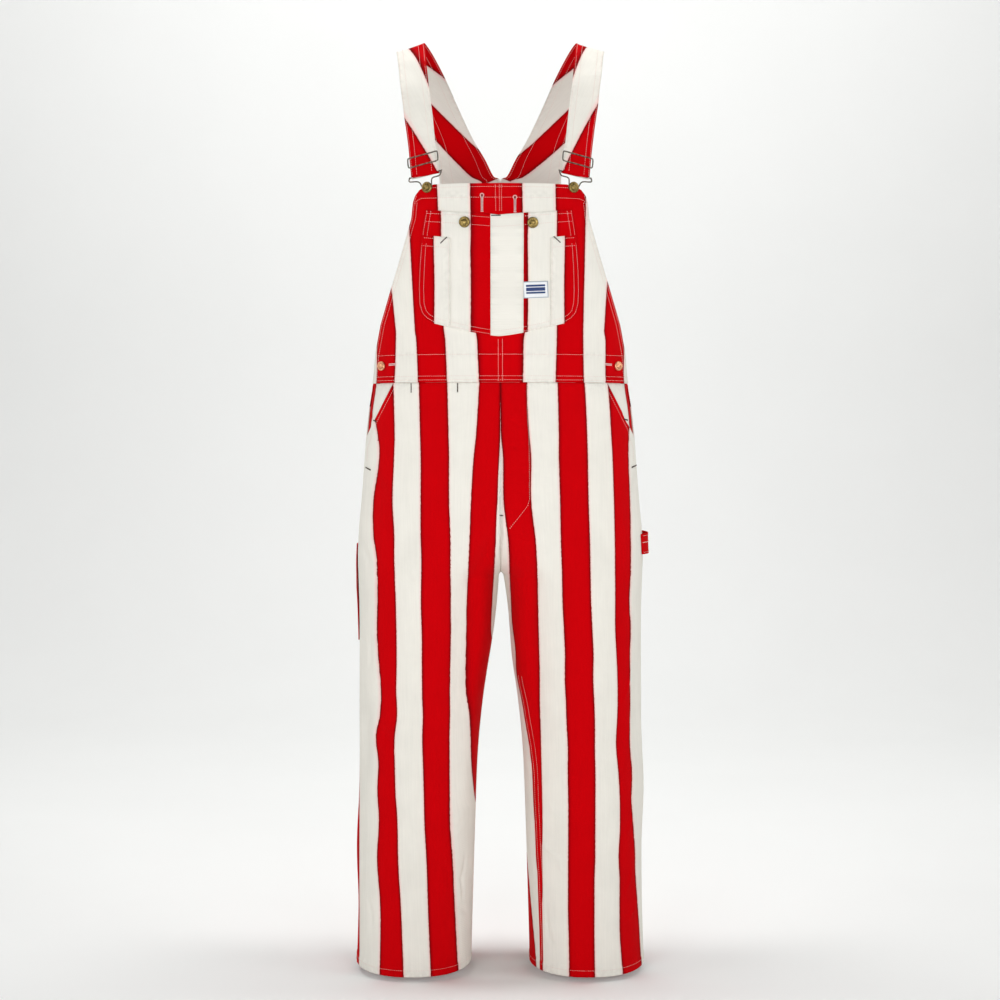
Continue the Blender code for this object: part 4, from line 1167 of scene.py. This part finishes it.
def addButton(name, place, radius, finish):
    point, normal = place
    bm = bmesh.new()
    wearLayer = bm.verts.layers.float.new("wear")
    chain = [bm.verts.new((share * radius, 0, height)) for share, height in capProfile]
    edges = [bm.edges.new(pair) for pair in zip(chain, chain[1:])]
    bmesh.ops.spin(bm, geom=chain + edges, cent=(0, 0, 0), axis=(0, 0, 1), angle=2 * math.pi,
                   steps=caps["steps"], use_merge=True)
    bmesh.ops.remove_doubles(bm, verts=bm.verts, dist=0.00001)
    bmesh.ops.holes_fill(bm, edges=[edge for edge in bm.edges if edge.is_boundary], sides=0)
    for vert in bm.verts:
        share = math.hypot(vert.co.x, vert.co.y) / radius
        vert[wearLayer] = 0.9 if vert.co.z > 0.0049 else 0.0
        if 0.60 < share < 0.97 and vert.co.z > 0.004:
            turn = math.atan2(vert.co.y, vert.co.x)
            vert.co.z += caps["beadHeight"] * math.cos(turn * caps["beads"]) * near(share - 0.80, 0.2)
    bmesh.ops.recalc_face_normals(bm, faces=bm.faces)
    turned = Vector((0, 0, 1)).rotation_difference(normal).to_matrix().to_4x4()
    turned.translation = point
    bmesh.ops.transform(bm, matrix=turned, verts=bm.verts)
    newPiece(name + "_cap", bm, finish, "copper" if finish == copper else "aged_brass", name)


for side, name in ((1, "left"), (-1, "right")):
    addButton("bib_button_" + name, front(side * bibButton["x"], bibButton["z"], 0.0005), 0.0082, brass)
    point, normal = front(side * (0.1770 if side > 0 else 0.1785), -0.4870, 0.0005)
    addButton("side_button_" + name, (point, (normal + Vector((0, -0.7, 0))).normalized()), 0.0070, copper)
addButton("pocket_button_right", front(-0.0521, -0.2778, level1 + 0.0006), 0.0082, brass)
addButton("pocket_button_left", front(0.0470, -0.2783, level1 + 0.0006), 0.0082, brass)
print("buttons set")

# ---- buckles: bent steel wire
wire = {"radius": 0.0010, "facets": 3, "smoothing": 5}


def bend(points, closed):
    # a smooth line through the bends
    smooth = []
    count = len(points)
    for i in range(count if closed else count - 1):
        around = [(i + k) % count if closed else min(count - 1, max(0, i + k)) for k in (-1, 0, 1, 2)]
        p0, p1, p2, p3 = (points[k] for k in around)
        for k in range(wire["smoothing"]):
            t = k / wire["smoothing"]
            smooth.append(0.5 * (2 * p1 + (p2 - p0) * t + (2 * p0 - 5 * p1 + 4 * p2 - p3) * t * t
                                 + (3 * p1 - p0 - 3 * p2 + p3) * t ** 3))
    return smooth if closed else smooth + [points[-1]]


def addWire(name, node, points, closed):
    curve = bpy.data.curves.new(name, "CURVE")
    curve.dimensions = "3D"
    curve.bevel_depth = wire["radius"]
    curve.bevel_resolution = wire["facets"]
    curve.use_fill_caps = True
    spline = curve.splines.new("POLY")
    path = bend(points, closed)
    spline.points.add(len(path) - 1)
    for spot, point in zip(spline.points, path):
        spot.co = (*point, 1)
    spline.use_cyclic_u = closed
    drawn = bpy.data.objects.new(name, curve)
    mesh = bpy.data.meshes.new_from_object(drawn)
    bpy.data.objects.remove(drawn)
    mesh.name = name
    mesh.materials.clear()
    newPiece(name, mesh, steel, "aged_wire", node)


slide = {"top": 16.67, "bottom": 17.32, "overhang": 0.055}
hookRows = [
    (0.0295, 0.0098), (0.0150, 0.0088), (0.0092, 0.0020), (0.0062, -0.0030), (0.0000, -0.0046),
    (-0.0060, -0.0024), (-0.0066, 0.0046), (-0.0080, 0.0135), (-0.0195, 0.0168),
]
for side, name in ((1, "left"), (-1, "right")):
    lift = wire["radius"] + seamGap + 0.0004
    first, last = -slide["overhang"], 1 + slide["overhang"]
    ring = [(a, slide["top"]) for a in spaced(first + 0.06, last - 0.06, 4)]
    ring += [(last, slide["top"] + 0.10), (last, slide["bottom"] - 0.10)]
    ring += [(a, slide["bottom"]) for a in spaced(last - 0.06, first + 0.06, 4)]
    ring += [(first, slide["bottom"] - 0.10), (first, slide["top"] + 0.10)]
    addWire("slide_wire_" + name, "buckle_slide_" + name, [strap(side, a, row, lift)[0] for a, row in ring], True)
    place, normal = front(side * bibButton["x"], bibButton["z"])
    outward = Vector((0, 0, 1)).cross(normal).normalized() * side
    upward = normal.cross(outward).normalized() * side
    end = strapTable[len(strapRows) - 1]
    neck = Vector((end[0] * side, end[1], end[2]))
    arm = Vector((end[3] * side, end[4], end[5]))
    behind = Vector((strapInward.x * side, strapInward.y, strapInward.z)) * strapEnd["foldRadius"]
    over = (arm - neck).normalized() * 0.0038
    path = [neck - over + behind, neck + behind, arm + behind, arm + over + behind]
    path += [place + normal * lift + outward * a + upward * up for a, up in hookRows]
    addWire("hook_wire_" + name, "buckle_hook_" + name, path, True)
print("buckles bent")

# ---- setting: paper sweep, light, camera
sweep = {"floor": hemZ - 0.014, "front": -4.5, "wall": 2.2, "curve": 1.2, "height": 4.5, "width": 11.0}
bm = bmesh.new()
bmesh.ops.create_grid(bm, x_segments=1, y_segments=48, size=0.5)
for vert in bm.verts:
    t = vert.co.y + 0.5
    turn = min(1.0, max(0.0, (t - 0.4) / 0.3)) * math.pi / 2
    y = sweep["front"] + (sweep["wall"] - sweep["front"]) * min(t, 0.4) / 0.4 + sweep["curve"] * math.sin(turn)
    z = sweep["floor"] + sweep["curve"] * (1 - math.cos(turn)) + max(0.0, t - 0.7) / 0.3 * sweep["height"]
    vert.co = (vert.co.x * sweep["width"], y, z)
# seamless background paper: matt and nearly white
paper, shader, add = newMaterial("seamless_paper", Roughness=0.95, Specular_IOR_Level=0.1)
fibre = add("TexNoise", {"Vector": add("TexCoord", {}).outputs["Object"], "Scale": 3.0, "Detail": 2.0})
connect(shader, add("Mix", {**colours, 0: fibre, 6: hexColour("#f6f7f6"), 7: hexColour("#f3f4f3")}))
newPiece("backdrop", bm, paper)

light = {"sky": 0.15, "skyTint": (1.0, 0.975, 0.93, 1), "key": 3.8, "side": 2.6, "fill": 0.25, "wall": 145}
keyTint = (0.985, 0.992, 1.0)
world = bpy.data.worlds.new("studio")
bpy.context.scene.world = world
world.use_nodes = True
world.node_tree.nodes["Background"].inputs[0].default_value = light["skyTint"]
world.node_tree.nodes["Background"].inputs[1].default_value = light["sky"]


def addLight(name, place, aim, size, power, spread=180, tint=(1, 1, 1)):
    data = bpy.data.lights.new(name, "AREA")
    data.spread = math.radians(spread)
    data.color = tint
    data.shape = "RECTANGLE"
    data.size, data.size_y = size
    data.energy = power
    lamp = bpy.data.objects.new(name, data)
    lamp.location = place
    lamp.rotation_mode = "QUATERNION"
    lamp.rotation_quaternion = (Vector(aim) - Vector(place)).to_track_quat("-Z", "Y")
    bpy.context.scene.collection.objects.link(lamp)


# two soft boxes beside the lens at waist height, one each side further round
for side, name in ((1, "left"), (-1, "right")):
    addLight("key_" + name, (side * 0.9, -2.3, -0.62), (0, 0, -0.62), (1, 0.8), light["key"], 80, keyTint)
    addLight("side_" + name, (side * 2.3, -0.9, 0.1), (side * 0.1, 0, -0.55), (1.2, 1), light["side"], 75, keyTint)
addLight("fill", (0, -2.4, -0.95), (0, 0.1, 0.02), (0.8, 0.4), light["fill"], 30, keyTint)
addLight("wall_wash", (0, 0.2, 2.6), (0, 3.4, -1.0), (4.2, 0.8), light["wall"])

lens = {"place": (-0.0005, -2.8, -0.584), "tilt": 2.219, "focal": 65, "sensor": 36}
camera = bpy.data.cameras.new("front_view")
camera.lens = lens["focal"]
camera.sensor_width = lens["sensor"]
cameraObject = bpy.data.objects.new("front_view", camera)
cameraObject.location = lens["place"]
cameraObject.rotation_euler = (math.radians(90 - lens["tilt"]), 0, 0)
bpy.context.scene.collection.objects.link(cameraObject)
bpy.context.scene.camera = cameraObject
bpy.context.scene.view_settings.view_transform = "Standard"  # keeps the dye as saturated as it is
print("setting and camera placed")

bpy.context.view_layer.update()
